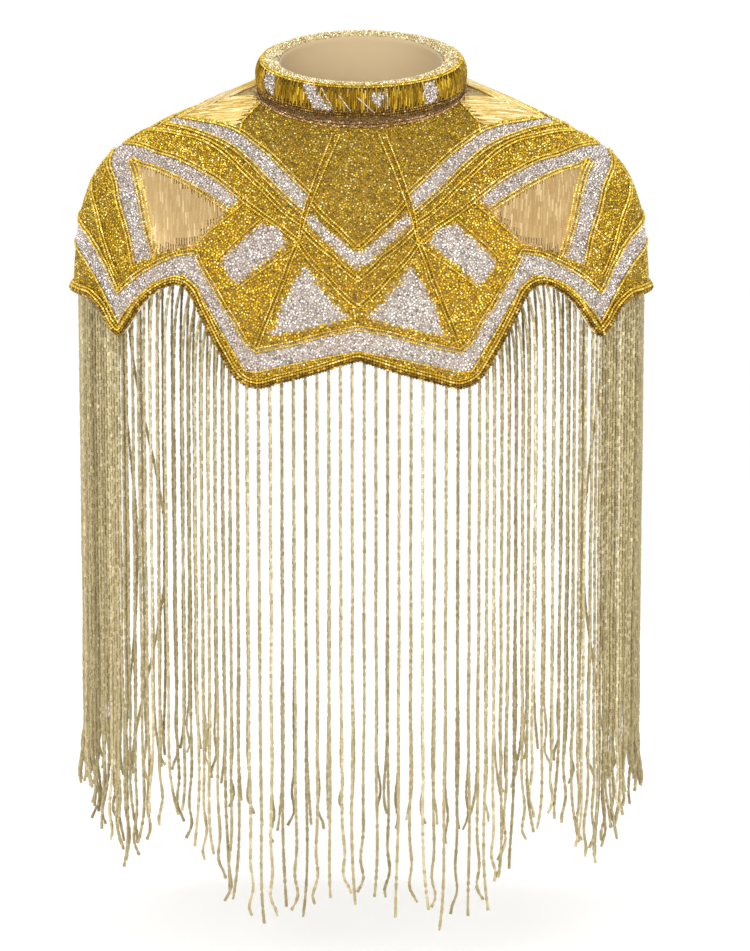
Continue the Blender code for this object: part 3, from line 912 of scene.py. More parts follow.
def build_fields(settings):
    lay, lines = field_tree(), seam_lines(settings)
    finishes = {GOLD: bead_material("gold_beads", "gold", 0.75, 0.42, with_painted_shade=True),
                SILVER: bead_material("silver_beads", "silver", 0.4, 0.3,
                                       blush=(1.0, 0.93, 0.94))}
    for side, start, end in (("front", -90.0, 90.0), ("back", 90.0, 270.0)):
        points, turns, ways = panel_grid(start, end, 0.0018, 0.0001, 0.01)
        rows, columns = turns.shape
        quads = grid_faces(rows, columns)
        kinds = field_at(middle_of(turns, quads), middle_of(ways, quads))
        middles = points.reshape(-1, 3)[quads].mean(axis=1)
        bare = ~clear_of(lines[side], middles, settings.row_room)
        bare |= middle_of(ways, quads) < FOOT_BAND
        for kind, finish in finishes.items():
            carrier = new_mesh("carrier", points, quads[(kinds == kind) & ~bare])
            piece = lay.apply(f"{FIELD_NAMES[kind]}_beads_{side}", carrier, finish,
                              Spacing=settings.spacing, Size=settings.size,
                              Seed=settings.seed + kind)
            settle(piece, "bead_cloth")


class CAPE_OT_fields(bpy.types.Operator):
    """Strew the gold and the silver fields with small beads"""
    bl_idname = "cape.fields"
    bl_label = "Field beads"

    def execute(self, context):
        build_fields(context.scene.cape_beads)
        return {"FINISHED"}


# Rows of beads

def four_quarters(run):
    """A chart run on each quarter of the yoke: turns and real ways."""
    turn, share = run[:, 0], run[:, 1]
    for turns in (turn, -turn, 180 - turn, turn - 180):
        ways = real_way(turns, share)
        inside_cloth = ways < hem_way(turns) - 0.004
        if inside_cloth.sum() > 1:
            yield turns[inside_cloth], ways[inside_cloth]


def lines_beside(turns, ways, count, gap, lift):
    """Lines on the yoke's face that run beside a seam, as arrays of points."""
    face = yoke_normals(turns, ways)
    places = off_face(turns, ways, np.full(np.shape(turns), lift))
    aside = unit(np.cross(face, unit(np.gradient(places, axis=0))))
    return [places + aside * gap * (k - (count - 1) / 2) for k in range(count)]


def mesh_of_lines(lines, shades=()):
    """Lines as one mesh of edges; shades are one value for each line, kept on its points."""
    points, edges, start = [], [], 0
    for line in lines:
        points.append(line)
        edges += [(start + i, start + i + 1) for i in range(len(line) - 1)]
        start += len(line)
    mesh = new_mesh("lines", np.concatenate(points), edges=edges)
    if len(shades):
        kept = mesh.attributes.new("shade", "FLOAT", "POINT")
        kept.data.foreach_set("value", np.concatenate(
            [np.full(len(line), shade, "f") for line, shade in zip(lines, shades)]))
    return mesh


def seam_lines(settings):
    """The raised rows of the front and of the back, as lines on the yoke's face."""
    sides = {"front": [], "back": []}
    for name, count, _ in RAISED:
        for turns, ways in four_quarters(RUNS[name]):
            side = "front" if np.abs(turns).mean() <= 90 else "back"
            sides[side] += lines_beside(turns, ways, count, settings.row_gap, 0.0011)
    return sides


def clear_of(lines, places, room):
    """Which places keep at least this distance from the lines."""
    spots = np.concatenate(lines)
    tree = kdtree.KDTree(len(spots))
    for index, spot in enumerate(spots):
        tree.insert(spot, index)
    tree.balance()
    return np.array([tree.find(place)[2] > room for place in places])


def build_rows(settings):
    lay = row_tree()
    finish = bead_material("row_beads", "row")
    for side, lines in seam_lines(settings).items():
        piece = lay.apply("bead_rows_" + side, mesh_of_lines(lines), finish,
                          Pitch=settings.row_pitch, Size=settings.row_size, Seed=settings.seed)
        settle(piece, "bead_cloth")


class CAPE_OT_rows(bpy.types.Operator):
    """Lay the raised rows of beads along the seams between the fields"""
    bl_idname = "cape.rows"
    bl_label = "Raised rows"

    def execute(self, context):
        build_rows(context.scene.cape_beads)
        return {"FINISHED"}


# Tube beads

# Share of its length by which each line of tubes starts after the last
GOLDEN = 0.618
FAN_LEAN = 0.06
CAP_FALL = 0.14
TUBE_LIFT = 0.0007


def fan_level(points):
    """Lines of equal level run nearly upright over the tan panels, seen from the front."""
    return np.abs(points[..., 0]) - FAN_LEAN * points[..., 2]


def cap_level(points):
    """Lines of equal level run level along the shoulder tops, seen from the front."""
    return -points[..., 2] + CAP_FALL * np.abs(points[..., 1])


# For each field of tube beads: its level, the way and turns where its lines are spaced
# evenly, and the first and last way that they reach
TUBE_FIELDS = {
    FAN: (fan_level, 0.50, (30.0, 80.0), (0.40, 0.72)),
    CAP: (cap_level, 0.16, (52.0, 90.0), (0.02, 0.36)),
}


def tube_lines(kind, width):
    """Lines of tube beads over one quarter, as arrays of turns and ways."""
    level_of, start_way, (first, last), (top, foot) = TUBE_FIELDS[kind]
    turns = np.linspace(first, last, 400)
    start = yoke_points(turns, np.full(turns.shape, start_way))
    run = np.concatenate([[0], np.cumsum(np.linalg.norm(np.diff(start, axis=0), axis=1))])
    starts = np.interp(np.arange(0, run[-1], width), run, turns)
    ways = np.linspace(top, foot, 120)
    grid_turns, grid_ways = np.meshgrid(np.linspace(20.0, 90.0, 300), ways)
    levels = level_of(yoke_points(grid_turns, grid_ways))
    for start_turn in starts:
        level = float(level_of(yoke_points(start_turn, start_way)))
        rising = levels if levels[0, 0] < levels[0, -1] else -levels
        wanted = level if levels[0, 0] < levels[0, -1] else -level
        line = np.array([np.interp(wanted, row, grid_turns[0], left=np.nan, right=np.nan)
                         for row in rising])
        known = ~np.isnan(line)
        if known.sum() > 2:
            yield line[known], ways[known]


def tube_places(kind, settings, side):
    """Places and directions of tube beads on the front or the back."""
    found, grains = [], []
    length = settings.tube_length
    for number, (turns, ways) in enumerate(tube_lines(kind, settings.tube_width)):
        line = off_face(turns, ways, np.full(turns.shape, TUBE_LIFT))
        run = np.concatenate([[0], np.cumsum(np.linalg.norm(np.diff(line, axis=0), axis=1))])
        spots = np.arange(length * (0.5 + number * GOLDEN % 1), run[-1], length * 0.99)
        kept = np.ones(len(spots), bool)
        for shift in (-0.30, 0.0, 0.30):
            spot = np.clip(spots + shift * length, 0, run[-1])
            kept &= field_at(np.interp(spot, run, turns), np.interp(spot, run, ways)) == kind
        for spot in spots[kept]:
            turn, way = np.interp((spot, spot + 0.001), run, turns), \
                np.interp((spot, spot + 0.001), run, ways)
            if side == "back":
                turn, way = 180 - turn, real_way(180 - turn, way)
            for sign in (-1, 1):
                here = off_face(sign * turn, way, np.full(2, TUBE_LIFT))
                found.append(here[0])
                grains.append(unit(here[1] - here[0]))
    return np.array(found), np.array(grains)


def build_tubes(settings):
    lay = tube_tree()
    for kind, name in ((FAN, "fan"), (CAP, "cap")):
        finish = bead_material(name + "_tube_beads", name, 0.3, 0.38)
        for side in ("front", "back"):
            places, grains = tube_places(kind, settings, side)
            carrier = new_mesh("carrier", places)
            stored = carrier.attributes.new("grain", "FLOAT_VECTOR", "POINT")
            stored.data.foreach_set("vector", grains.astype("f").reshape(-1))
            piece = lay.apply(f"{name}_tube_beads_{side}", carrier, finish,
                              Length=settings.tube_length, Size=settings.tube_width * 1.05,
                              Seed=settings.seed)
            settle(piece, "bead_cloth")


class CAPE_OT_tubes(bpy.types.Operator):
    """Lay tube beads side by side on the shoulder tops and the tan panels"""
    bl_idname = "cape.tubes"
    bl_label = "Tube beads"

    def execute(self, context):
        build_tubes(context.scene.cape_beads)
        return {"FINISHED"}


# Rope along the hem

# Rows of the rope, by the tints of their beads: above the hem's edge and proud of the face
ROPE_ROWS = {"rope": ((-0.0014, 0.0020), (0.0003, 0.0030)),
             "row": ((0.0022, 0.0028), (0.0042, 0.0014))}


def rope_line(turns, above, outward):
    """A line beside the hem, this far above its edge and proud of the face."""
    edge = hem_way(turns)
    slope = np.linalg.norm(yoke_points(turns, edge + 0.01) - yoke_points(turns, edge - 0.01),
                           axis=-1) / 0.02
    run = yoke_points(turns, edge)
    step = np.gradient(run, axis=0)
    down = unit(yoke_points(turns, edge + 0.01) - yoke_points(turns, edge - 0.01))
    lean = np.abs((unit(step) * down).sum(-1))
    stretch = 1 / np.sqrt(np.maximum(1 - lean**2, 0.12))
    return off_face(turns, edge - above * stretch / slope, np.full(turns.shape, outward))


ROPE_CORE = ((-0.0004, -0.0018), (-0.0012, 0.0004), (-0.0004, 0.0020), (0.0022, 0.0024),
             (0.0046, 0.0012), (0.0050, 0.0001))


def build_rope(settings):
    lay = row_tree()
    finish = bead_material("rope_beads", "rope")
    light = bead_material("rope_light_beads", "row")
    for label, start, end in PARTS:
        turns = np.linspace(start, end, int((end - start) * 4) + 1)
        dark_lines, light_lines = ([keep_off_seams(rope_line(turns, above, out), start, end)
                                    for above, out in rows] for rows in ROPE_ROWS.values())
        beads = lay.apply("rope_beads_" + label, mesh_of_lines(dark_lines), finish,
                          Pitch=0.0022, Size=0.0025, Seed=settings.seed)
        settle(beads, "bead_rope", "hem_roll_" + label)
        edge = lay.apply("rope_light_beads_" + label, mesh_of_lines(light_lines), light,
                         Pitch=0.0022, Size=0.0023, Seed=settings.seed)
        settle(edge, "bead_rope")
        core_turns = np.linspace(start, end, int(end - start) + 1)
        rings = [keep_off_seams(rope_line(core_turns, above, out), start, end)
                 for above, out in ROPE_CORE]
        core = tube_of_rings("rope_core_" + label, np.stack(rings, 1), closed=False)
        settle(new_piece("rope_core_" + label, core, finish), "bead_rope")


def tube_of_rings(name, rings, closed=False):
    """A tube through rings of points, one ring a row, capped at its ends unless it closes."""
    rows, around = rings.shape[:2]
    grid = np.arange(rows * around).reshape(rows, around)
    if closed:
        grid = np.concatenate([grid, grid[:1]])
    wrapped = np.concatenate([grid, grid[:, :1]], axis=1)
    quads = np.stack([wrapped[:-1, :-1], wrapped[1:, :-1], wrapped[1:, 1:], wrapped[:-1, 1:]],
                     -1).reshape(-1, 4)
    faces = [tuple(q) for q in quads]
    if not closed:
        faces += [tuple(grid[0]), tuple(grid[-1][::-1])]
    mesh = new_mesh(name, rings, faces)
    make_outward(mesh)
    return mesh


class CAPE_OT_rope(bpy.types.Operator):
    """Edge the zigzag hem with a rope of bead rows"""
    bl_idname = "cape.rope"
    bl_label = "Hem rope"

    def execute(self, context):
        build_rope(context.scene.cape_beads)
        return {"FINISHED"}


# Collar

COLLAR_LIFT, COLLAR_SEAT, COLLAR_FOOT_WAY = 0.0006, 0.0004, 0.02
SECTION_STEPS = 26


def section_curve():
    p = np.array(COLLAR_SECTION, float)
    size = np.array((COLLAR_BULGE, COLLAR_FRONT_HEIGHT))
    run = np.concatenate([[0], np.cumsum(np.linalg.norm(np.diff(p * size, axis=0), axis=1))])
    return run / run[-1], p


SECTION_RUN, SECTION_POINTS = section_curve()


def collar_points(turn, share, outward=0.0):
    """The collar's face: share 0 is the bore's foot, 1 the foot outside."""
    turn, share = np.broadcast_arrays(np.asarray(turn, float), np.asarray(share, float))
    across, up = (read((SECTION_RUN, SECTION_POINTS[:, k],
                        np.gradient(SECTION_POINTS[:, k], SECTION_RUN)), share) for k in (0, 1))
    s, c = np.sin(np.radians(turn)), np.cos(np.radians(turn))
    bore = np.stack([BORE_SIDE * s, -np.where(c >= 0, BORE_FRONT, BORE_BACK) * c,
                     np.zeros(turn.shape)], -1)
    seat = off_face(turn, np.zeros(turn.shape), np.full(turn.shape, COLLAR_SEAT))
    away = (seat - bore) * np.array((1.0, 1.0, 0.0))
    away = unit(away)
    height = COLLAR_BACK_HEIGHT + (COLLAR_FRONT_HEIGHT - COLLAR_BACK_HEIGHT) * (1 + c) / 2
    place = bore + away * (COLLAR_BULGE * across)[..., None]
    place[..., 2] = seat[..., 2] + COLLAR_LIFT + height * up
    if not np.any(outward):
        return place
    along = collar_points(turn + 0.5, share) - collar_points(turn - 0.5, share)
    down = collar_points(turn, np.minimum(share + 0.01, 1)) - \
        collar_points(turn, np.maximum(share - 0.01, 0))
    return place + unit(np.cross(down, along)) * np.asarray(outward)[..., None]


# Ornament of the collar: corners as degrees round and share of its section, front ones first
COLLAR_PATCHES = (
    ((-66, 0.57), (-57, 0.55), (-53, 0.76), (-55, 0.90), (-63, 0.88), (-67, 0.72)),
    ((-35, 0.63), (-27, 0.63), (-13, 0.93), (-25, 0.93)),
    ((5, 0.72), (13.5, 0.69), (13, 0.84), (9, 0.87)),
    ((39, 0.66), (46, 0.66), (48, 0.80), (45, 0.93), (38, 0.93), (37, 0.80)),
)
COLLAR_THREADS = (
    ((-21, 0.68), (-15, 0.86)), ((-11, 0.74), (-5, 0.90)), ((-1, 0.76), (8, 0.93)),
    ((15, 0.68), (15, 0.89)), ((-30, 0.63), (-24, 0.77)),
)
COLLAR_RIM = (0.380, 0.590)
EDGE_ROWS = (0.604, 0.632)
COLLAR_FIELD = (0.650, 0.925)
# Double rows round the foot of the collar, on the yoke: way at the back, and how much more
# at the front
FOOT_ROWS = (0.002, 0.0072, 0.0165, 0.0217)
FOOT_ROWS_MORE = 0.002
# The way where the fields of beads begin, below those rows
FOOT_BAND = 0.026
# The dark rows: gold cords tinted dark, painted shade under the collar's bulge
DARK_ROWS = (0.925, 0.955, 0.985)
# The umber ground at the collar's foot is painted shade under its bulge; the amber ground is the
# collar's own colour
AMBER_GROUND, UMBER_GROUND = (0.18, 0.10, 0.006), (0.17, 0.085, 0.014)
RIM_GROUND = (0.70, 0.56, 0.28)


def build_collar(settings):
    turns = np.linspace(-180, 180, 145)[:-1]
    shares = np.linspace(0, 1, SECTION_STEPS)
    t, s = np.meshgrid(turns, shares, indexing="ij")
    rings = collar_points(t, s)
    lap = off_face(turns, np.full(turns.shape, COLLAR_FOOT_WAY), np.full(turns.shape, 0.0004))
    sole = rings[:, 0] + (lap - rings[:, 0]) * 0.25
    sole[:, 2] = rings[:, 0, 2]
    rings = np.concatenate([rings, lap[:, None], sole[:, None]], axis=1)
    mesh = tube_of_rings("collar", rings, closed=True)
    colours = mesh.attributes.new("field_colour", "FLOAT_COLOR", "POINT")
    tint = np.tile((*AMBER_GROUND, 1.0), (len(turns), len(shares) + 2, 1))
    # The collar's foot and its lap onto the yoke in umber: painted shade under the bulge
    tint[:, -3:] = (*UMBER_GROUND, 1.0)
    tint[:, :-2][s < COLLAR_RIM[1] + 0.01] = (*RIM_GROUND, 1.0)
    tint[:, :-2][on_patch(t, s)] = (*FIELD_COLOURS[SILVER], 1.0)
    colours.data.foreach_set("color", tint.astype("f").reshape(-1))
    collar = new_piece("collar", mesh, bpy.data.materials["bead_ground"])
    settle(collar, "bead_cloth", "collar_band")
    lay_collar_patches(settings)
    lay_collar_tubes(settings)
    lay_collar_rows(settings)


def on_patch(x, y):
    """Which places of the collar lie on a silver patch, front or back."""
    found = np.zeros(np.shape(x), bool)
    for patch in COLLAR_PATCHES:
        for turned in (x, x - 180, x + 180):
            found |= inside(patch, turned, y)
    return found


def lay_collar_patches(settings):
    """Strewn beads over the collar's rim and on its silver patches."""
    fields = (("silver", COLLAR_FIELD, bpy.data.materials["silver_beads"]),
              ("rim", COLLAR_RIM, bead_material("collar_rim_beads", "rim", 0.5, 0.4)))
    for name, (top, foot), finish in fields:
        t, s = np.meshgrid(np.linspace(-180, 180, 541), np.linspace(top, foot, 20),
                           indexing="ij")
        points = collar_points(t, s, np.full(t.shape, 0.0003))
        quads = grid_faces(*t.shape)[:, ::-1]
        if name == "silver":
            quads = quads[on_patch(middle_of(t, quads), middle_of(s, quads))]
        piece = field_tree().apply(f"collar_{name}_beads", new_mesh("carrier", points, quads),
                                   finish, Spacing=settings.spacing, Size=settings.size,
                                   Seed=settings.seed)
        settle(piece, "bead_cloth")


def lay_collar_tubes(settings):
    """Short tube beads side by side, upright round the collar."""
    girth = 2 * pi * (BORE_SIDE + BORE_FRONT + 2 * COLLAR_BULGE) / 2
    turns = np.linspace(-180, 180, int(girth / settings.tube_width))[:-1]
    top, foot = COLLAR_FIELD
    step = (foot - top) / 3
    places, grains = [], []
    for number, turn in enumerate(turns):
        shares = top + step * (np.arange(-1, 4) + number * GOLDEN % 1)
        shares = shares[(shares > top + step * 0.3) & (shares < foot - step * 0.3)]
        here = np.full(shares.shape, turn)
        kept = ~on_patch(here, shares)
        middle = collar_points(here, shares, np.full(shares.shape, TUBE_LIFT))[kept]
        below = collar_points(here, shares + 0.01, np.full(shares.shape, TUBE_LIFT))[kept]
        places.append(middle)
        grains.append(unit(below - middle))
    carrier = new_mesh("carrier", np.concatenate(places))
    stored = carrier.attributes.new("grain", "FLOAT_VECTOR", "POINT")
    stored.data.foreach_set("vector", np.concatenate(grains).astype("f").reshape(-1))
    finish = bead_material("collar_tube_beads", "amber", 0.85, 0.52)
    piece = tube_tree().apply("collar_tube_beads", carrier, finish, Length=0.0062,
                              Size=settings.tube_width * 1.08, Seed=settings.seed)
    settle(piece, "bead_cloth")


def lay_collar_rows(settings):
    rows = row_tree()
    around = np.linspace(-180, 180, 721)
    high = np.full(around.shape, 0.0008)
    foot_lines = []
    for way in FOOT_ROWS:
        ways = way + FOOT_ROWS_MORE * (1 + np.cos(np.radians(around))) / 2
        foot_lines.append(off_face(around, ways, high))
    threads = []
    for thread in COLLAR_THREADS:
        run = smooth_run(thread, False)
        for shift in (0, 180):
            threads.append(collar_points(run[:, 0] + shift, run[:, 1],
                                         np.full(len(run), 0.0015)))
    sets = (
        ("edge", [collar_points(around, share, high) for share in EDGE_ROWS], "row", 0.95),
        # The dark rows' tint is painted shade under the collar's bulge
        ("dark", [collar_points(around, share, high) for share in DARK_ROWS], "dark", 1.0),
        # The foot rows' umber tint is painted shade under the collar's bulge
        ("foot", foot_lines, "umber", 0.75),
        ("threads", threads, "silver", 0.7),
    )
    for name, lines, tints, scale in sets:
        finish = bead_material(f"collar_{name}_beads", tints)
        piece = rows.apply("collar_" + name, mesh_of_lines(lines), finish,
                           Pitch=settings.row_pitch * scale, Size=settings.row_size * scale,
                           Seed=settings.seed)
        settle(piece, "bead_cloth")


FACING_FOOT = -0.017
FACING_THICKNESS = 0.0012


def build_neck_lining(colour):
    """A smooth facing that lines the collar's bore and hangs a little below it."""
    turns = np.linspace(-180, 180, 121)[:-1]
    t, s = np.meshgrid(turns, np.linspace(0.03, 0.365, 10), indexing="ij")
    bore = collar_points(t, s)
    drop = np.linspace(0, 1, 9)[:-1, None, None]
    foot = bore[:, 0].copy()
    foot[:, 2] = np.minimum(FACING_FOOT, foot[:, 2] - 0.006)
    hanging = np.swapaxes(foot + (bore[:, 0] - foot) * drop, 0, 1)
    face = np.concatenate([hanging, bore], axis=1)
    away = unit(face * np.array((1.0, 1.0, 0.0)))
    shown, back = face - away * FACING_THICKNESS, face - away * SEAM_GAP
    mesh = tube_of_rings("neck_lining", np.concatenate([shown, back[:, ::-1]], axis=1),
                         closed=True)
    piece = new_piece("neck_lining", mesh, lining_material("neck_satin", colour))
    settle(piece, "lining_cloth", "collar_lining")
    girth = np.linalg.norm(np.diff(shown[:, 0], axis=0), axis=1).sum()
    rises = np.linalg.norm(np.diff(shown, axis=1), axis=-1).sum(axis=1)


class CAPE_OT_collar(bpy.types.Operator):
    """Build the padded collar, its beads, its edge rows and its smooth inner band"""
    bl_idname = "cape.collar"
    bl_label = "Collar"

    def execute(self, context):
        lining = tuple(context.scene.cape_cloth.lining)
        build_collar(context.scene.cape_beads)
        build_neck_lining(lining)
        return {"FINISHED"}


# Fringe

def hem_lengths(start, end):
    turns = np.linspace(start, end, round((end - start) * 2) + 1)
    places = yoke_points(turns, hem_way_exact(turns))
    steps = np.linalg.norm(np.diff(places, axis=0), axis=1)
    return turns, np.concatenate([[0], np.cumsum(steps)])


def hem_way_exact(turns):
    return solve_hem(np.asarray(turns, float))


def swing(turn):
    away = np.minimum(np.abs(quarter(turn) - BOW_MIDDLE) / BOW_REACH, 1.0)
    return np.where(np.sin(np.radians(turn)) >= 0, 1, -1) * STRAND_BOW * np.cos(away * pi / 2)**2


def hang_x(turn):
    turn = np.asarray(turn, float)
    edge = off_face(turn, hem_way_exact(turn), np.full(turn.shape, -CLOTH))
    return edge[..., 0] + swing(turn)


def hem_depth(turn):
    return yoke_points(turn, hem_way_exact(turn))[..., 1]


def front_turns():
    turns, run = hem_lengths(0.0, 90.0)
    count = int((run[-1] - STRAND_WIDTH) / STRAND_SPACING)
    right = np.interp(STRAND_SPACING * (np.arange(count) + 0.5), run, turns)
    return np.concatenate([-right[::-1], right])


def side_turns(last):
    """Turns that close the gap between the front's last strands and its ends."""
    turns, run = hem_lengths(0.0, 90.0)
    end = float(np.interp(run[-1] - 0.003, run, turns))
    return np.array((-end, -(end + last) / 2, (end + last) / 2, end))


def back_turns():
    """Turns of the back strands, on the +X side and on the -X side."""
    turns, run = hem_lengths(90.0, 180.0)
    spots, depths = hang_x(turns), hem_depth(turns)
    sides = {1: [], -1: []}
    front = front_turns()
    for x, depth in zip(hang_x(front), hem_depth(front)):
        behind = EYE_SIDE + (x - EYE_SIDE) * (EYE_AWAY + depths) / (EYE_AWAY + depth)
        side = 1 if behind[-1] > 0 else -1
        match = float(np.interp(0.0, side * behind - spots, turns))
        if STRAND_WIDTH < hang_x(match) < BACK_MATCHED:
            sides[side].append(match)
    for side, found in sides.items():
        room = float(np.interp(min(found), turns, run)) - STRAND_WIDTH
        count = int(room / STRAND_SPACING)
        places = STRAND_WIDTH + room * (np.arange(count) + 0.3) / count
        found += [float(turn) for turn in np.interp(places, run, turns)]
        found.sort()
    return sides


LIMP_FROM = 0.80
# Strands at the front edge of the back fringe swing in towards the middle, part way down:
# where the swing ends and how far the first one goes
INWARD_TO, INWARD_MOST = 64.0, 0.030
# The strands at the very sides are shorter by up to this much, from these degrees on
SIDE_SHORTER, SIDE_FROM, SIDE_TO = 0.017, 66.0, 76.0


def strand_line(turn, index, end_sway, inward=0.0, steps=110):
    """Points down one strand, from the hem to its free end."""
    length = STRAND_LENGTH + STRAND_UNEVEN * sin(index * 2.4) * cos(index * 0.83)
    turn = np.array([turn])
    aside_share = float(np.clip((quarter(turn)[0] - SIDE_FROM) / (SIDE_TO - SIDE_FROM), 0, 1))
    length -= SIDE_SHORTER * aside_share
    edge = hem_way_exact(turn)
    root = off_face(turn, edge - 0.006, np.array([-CLOTH - TAPE_SEAT - TAPE_THICKNESS / 2]))[0]
    out = yoke_normals(turn, edge)[0] * np.array((1.0, 1.0, 0.0))
    out = unit(out)
    bow = float(swing(turn)[0])
    fall = np.linspace(0, 1, steps) ** 1.25 * length
    taken = 1 - np.exp(-fall / BOW_FALL)
    share = fall / length
    limp = np.clip((share - LIMP_FROM) / (1 - LIMP_FROM), 0, 1) ** 2
    pace = 5.0 + 4.0 * sin(index * 3.1)
    wave = 0.0004 * np.sin(share * 21 + index) * share
    curl = end_sway * (np.sin(limp * pace + index) - sin(index)) * limp
    aside = bow * taken + end_sway * 0.7 * sin(index * 1.7) * share**4 + wave + curl
    depth = -STRAND_TUCK * abs(bow) / STRAND_BOW * taken
    aside = aside - np.sign(root[0]) * inward * np.sin(share ** 1.15 * pi) ** 2
    moves = np.stack([aside, (wave + curl) * 0.6, -fall], -1) + out * depth[:, None]
    return root + moves


# The sides carry a second row of strands between the first ones
DENSE_FROM = (50.0, 57.0)
SECOND_ROW = 500


def build_fringe(settings):
    lay = row_tree(square=True)
    finish = bead_material("strand_beads", "strand", metallic=0.3, roughness=0.4)
    sides = back_turns()
    rows = {FRONT: front_turns(), BACK_RIGHT: np.array(sides[1]),
            BACK_LEFT: -np.array(sides[-1])[::-1]}
    for label, start, end in PARTS:
        turns = rows[label]
        lines = [strand_line(turn, i + len(turns), settings.sway)
                 for i, turn in enumerate(turns)]
        between_turns = (turns[1:] + turns[:-1]) / 2
        dense_from = DENSE_FROM[0 if label == FRONT else 1]
        between_turns = between_turns[quarter(between_turns) > dense_from]
        if label == FRONT:
            between_turns = np.concatenate([between_turns, side_turns(turns[-1])])
        for i, turn in enumerate(between_turns):
            inward = 0.0
            if label != FRONT:
                left = (INWARD_TO - quarter(turn)) / (INWARD_TO - dense_from)
                inward = INWARD_MOST * max(float(left), 0.0)
            lines.append(strand_line(turn, i + SECOND_ROW, settings.sway, inward))
        shades = [0.5 + 0.5 * sin(i * 5.3) * cos(i * 1.9) for i in range(len(lines))]
        piece = lay.apply("fringe_strands_" + label, mesh_of_lines(lines, shades), finish,
                          Pitch=settings.pitch, Size=settings.size, Seed=11)
        settle(piece, "bead_strand", "fringe_" + label)
        turns = np.linspace(start, end, int(end - start) + 1)
        edge = hem_way(turns)
        high, low = edge - 0.024, edge + 0.002
        near, far = -CLOTH - TAPE_SEAT, -CLOTH - TAPE_SEAT - TAPE_THICKNESS
        corners = ((high, near), (low, near), (low, far), (high, far))
        rings = [keep_off_seams(off_face(turns, way, np.full(turns.shape, out)), start, end)
                 for way, out in corners]
        tape = new_piece("fringe_tape_" + label, tube_of_rings(
            "fringe_tape_" + label, np.stack(rings, 1)), bpy.data.materials["lining_cloth"])
        settle(tape, "bead_strand")


class CAPE_OT_fringe(bpy.types.Operator):
    """Hang the bead strands from their tape inside the hem"""
    bl_idname = "cape.fringe"
    bl_label = "Fringe"

    def execute(self, context):
        build_fringe(context.scene.cape_fringe)
        return {"FINISHED"}


# Stage

def floor_material(colour):
    shader = Shader("pale_floor", Roughness=0.9)
    grain = shader.node("ShaderNodeTexNoise", None, Vector=shader.place(), Scale=3.0)
    shader.set("Base Color", shader.mix(grain, tuple(c * 0.99 for c in colour), colour))
    return shader.material


def area_light(name, place, target, size, power):
    light = bpy.data.lights.new(name, "AREA")
    light.size, light.energy = size, power
    lamp = bpy.data.objects.new(name, light)
    lamp.location = place
    lamp.rotation_euler = (Vector(target) - Vector(place)).to_track_quat("-Z", "Y").to_euler()
    bpy.context.scene.collection.objects.link(lamp)


VIEW_CENTRE = (0.0104, 0.0, -0.2895)
FLOOR_DROP = 0.03
FLOOR_HALF, FLOOR_DEPTH, SWEEP_RADIUS, WALL_TOP = 7.0, 2.6, 1.6, 5.0


def build_floor(colour):
    """A pale floor that sweeps up into a plain wall behind the cape."""
    level = CAD_BOX[0][2] - FLOOR_DROP
    bend = [(FLOOR_DEPTH + SWEEP_RADIUS * sin(a), level + SWEEP_RADIUS * (1 - cos(a)))
            for a in np.linspace(0, pi / 2, 13)]
    profile = [(-FLOOR_HALF, level), *bend, (FLOOR_DEPTH + SWEEP_RADIUS, WALL_TOP)]
    points = [(x, y, z) for y, z in profile for x in (-FLOOR_HALF, FLOOR_HALF)]
    faces = [(2 * i, 2 * i + 1, 2 * i + 3, 2 * i + 2) for i in range(len(profile) - 1)]
    new_piece("floor", new_mesh("floor", points, faces), floor_material(colour))


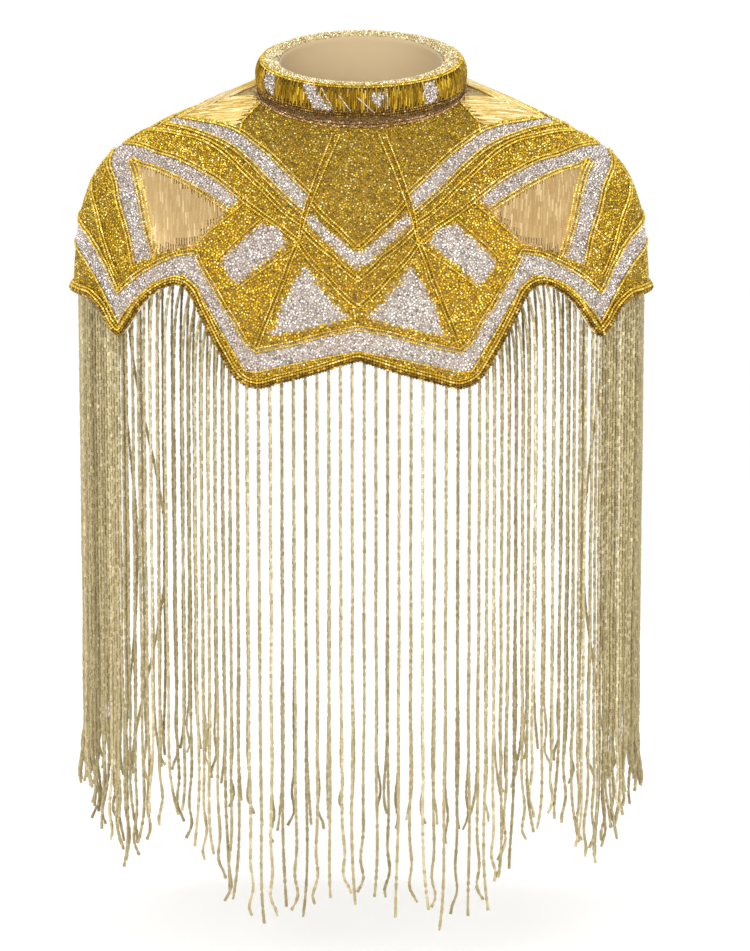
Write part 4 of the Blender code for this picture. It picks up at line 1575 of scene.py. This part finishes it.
class CAPE_OT_stage(bpy.types.Operator):
    """Set the pale floor, the soft studio lights and the camera"""
    bl_idname = "cape.stage"
    bl_label = "Stage"

    def execute(self, context):
        settings = context.scene.cape_stage
        build_floor(tuple(settings.floor))
        centre = Vector(VIEW_CENTRE)
        area_light("key_light", (-0.9, -2.2, 0.55), centre, 1.2, 30.0)
        area_light("fill_light", (1.4, -1.9, 0.1), centre, 1.4, 20.0)
        area_light("rim_light", (0.2, 1.8, 1.4), centre, 1.4, 5.0)
        area_light("top_light", (0.0, -0.2, 2.0), centre, 0.9, 4.0)
        world = bpy.data.worlds.new("studio")
        context.scene.world = world
        world.use_nodes = True
        backdrop = world.node_tree.nodes["Background"]
        backdrop.inputs["Color"].default_value = (1.0, 1.0, 1.0, 1.0)
        backdrop.inputs["Strength"].default_value = 1.0
        camera = bpy.data.cameras.new("camera")
        camera.lens, camera.sensor_width = settings.lens, 36.0
        camera.clip_end = 50.0
        eye = bpy.data.objects.new("camera", camera)
        a, e = radians(settings.azimuth), radians(settings.elevation)
        away = Vector((sin(a) * cos(e), -cos(a) * cos(e), sin(e)))
        eye.location = centre + away * settings.distance
        eye.rotation_euler = (-away).to_track_quat("-Z", "Y").to_euler()
        context.scene.collection.objects.link(eye)
        context.scene.camera = eye
        context.scene.view_settings.view_transform = "Standard"
        return {"FINISHED"}


class CAPE_PT_sidebar(bpy.types.Panel):
    """Lists the cape's sizes and the steps that build it"""
    bl_idname = "CAPE_PT_sidebar"
    bl_label = "Beaded fringe cape"
    bl_space_type = "VIEW_3D"
    bl_region_type = "UI"
    bl_category = "Cape"

    def draw(self, context):
        for name, holder in HOLDERS.items():
            box = self.layout.box()
            for prop in holder.__annotations__:
                box.prop(getattr(context.scene, name), prop)
        for step in STEPS:
            self.layout.operator(step.bl_idname)


HOLDERS = {"cape_cloth": CapeClothSettings, "cape_beads": CapeBeadSettings,
           "cape_fringe": CapeFringeSettings, "cape_stage": CapeStageSettings}
STEPS = (CAPE_OT_cloth, CAPE_OT_fields, CAPE_OT_rows, CAPE_OT_tubes, CAPE_OT_rope,
         CAPE_OT_collar, CAPE_OT_fringe, CAPE_OT_stage)


def register():
    for made in (*HOLDERS.values(), *STEPS, CAPE_PT_sidebar):
        bpy.utils.register_class(made)
    for name, holder in HOLDERS.items():
        setattr(bpy.types.Scene, name, PointerProperty(type=holder))


def unregister():
    for name in HOLDERS:
        delattr(bpy.types.Scene, name)
    for made in (CAPE_PT_sidebar, *reversed(STEPS), *reversed(HOLDERS.values())):
        bpy.utils.unregister_class(made)


def main():
    register()
    for step in STEPS:
        family, action = step.bl_idname.split(".")
        getattr(getattr(bpy.ops, family), action)()


if __name__ == "__main__":
    main()
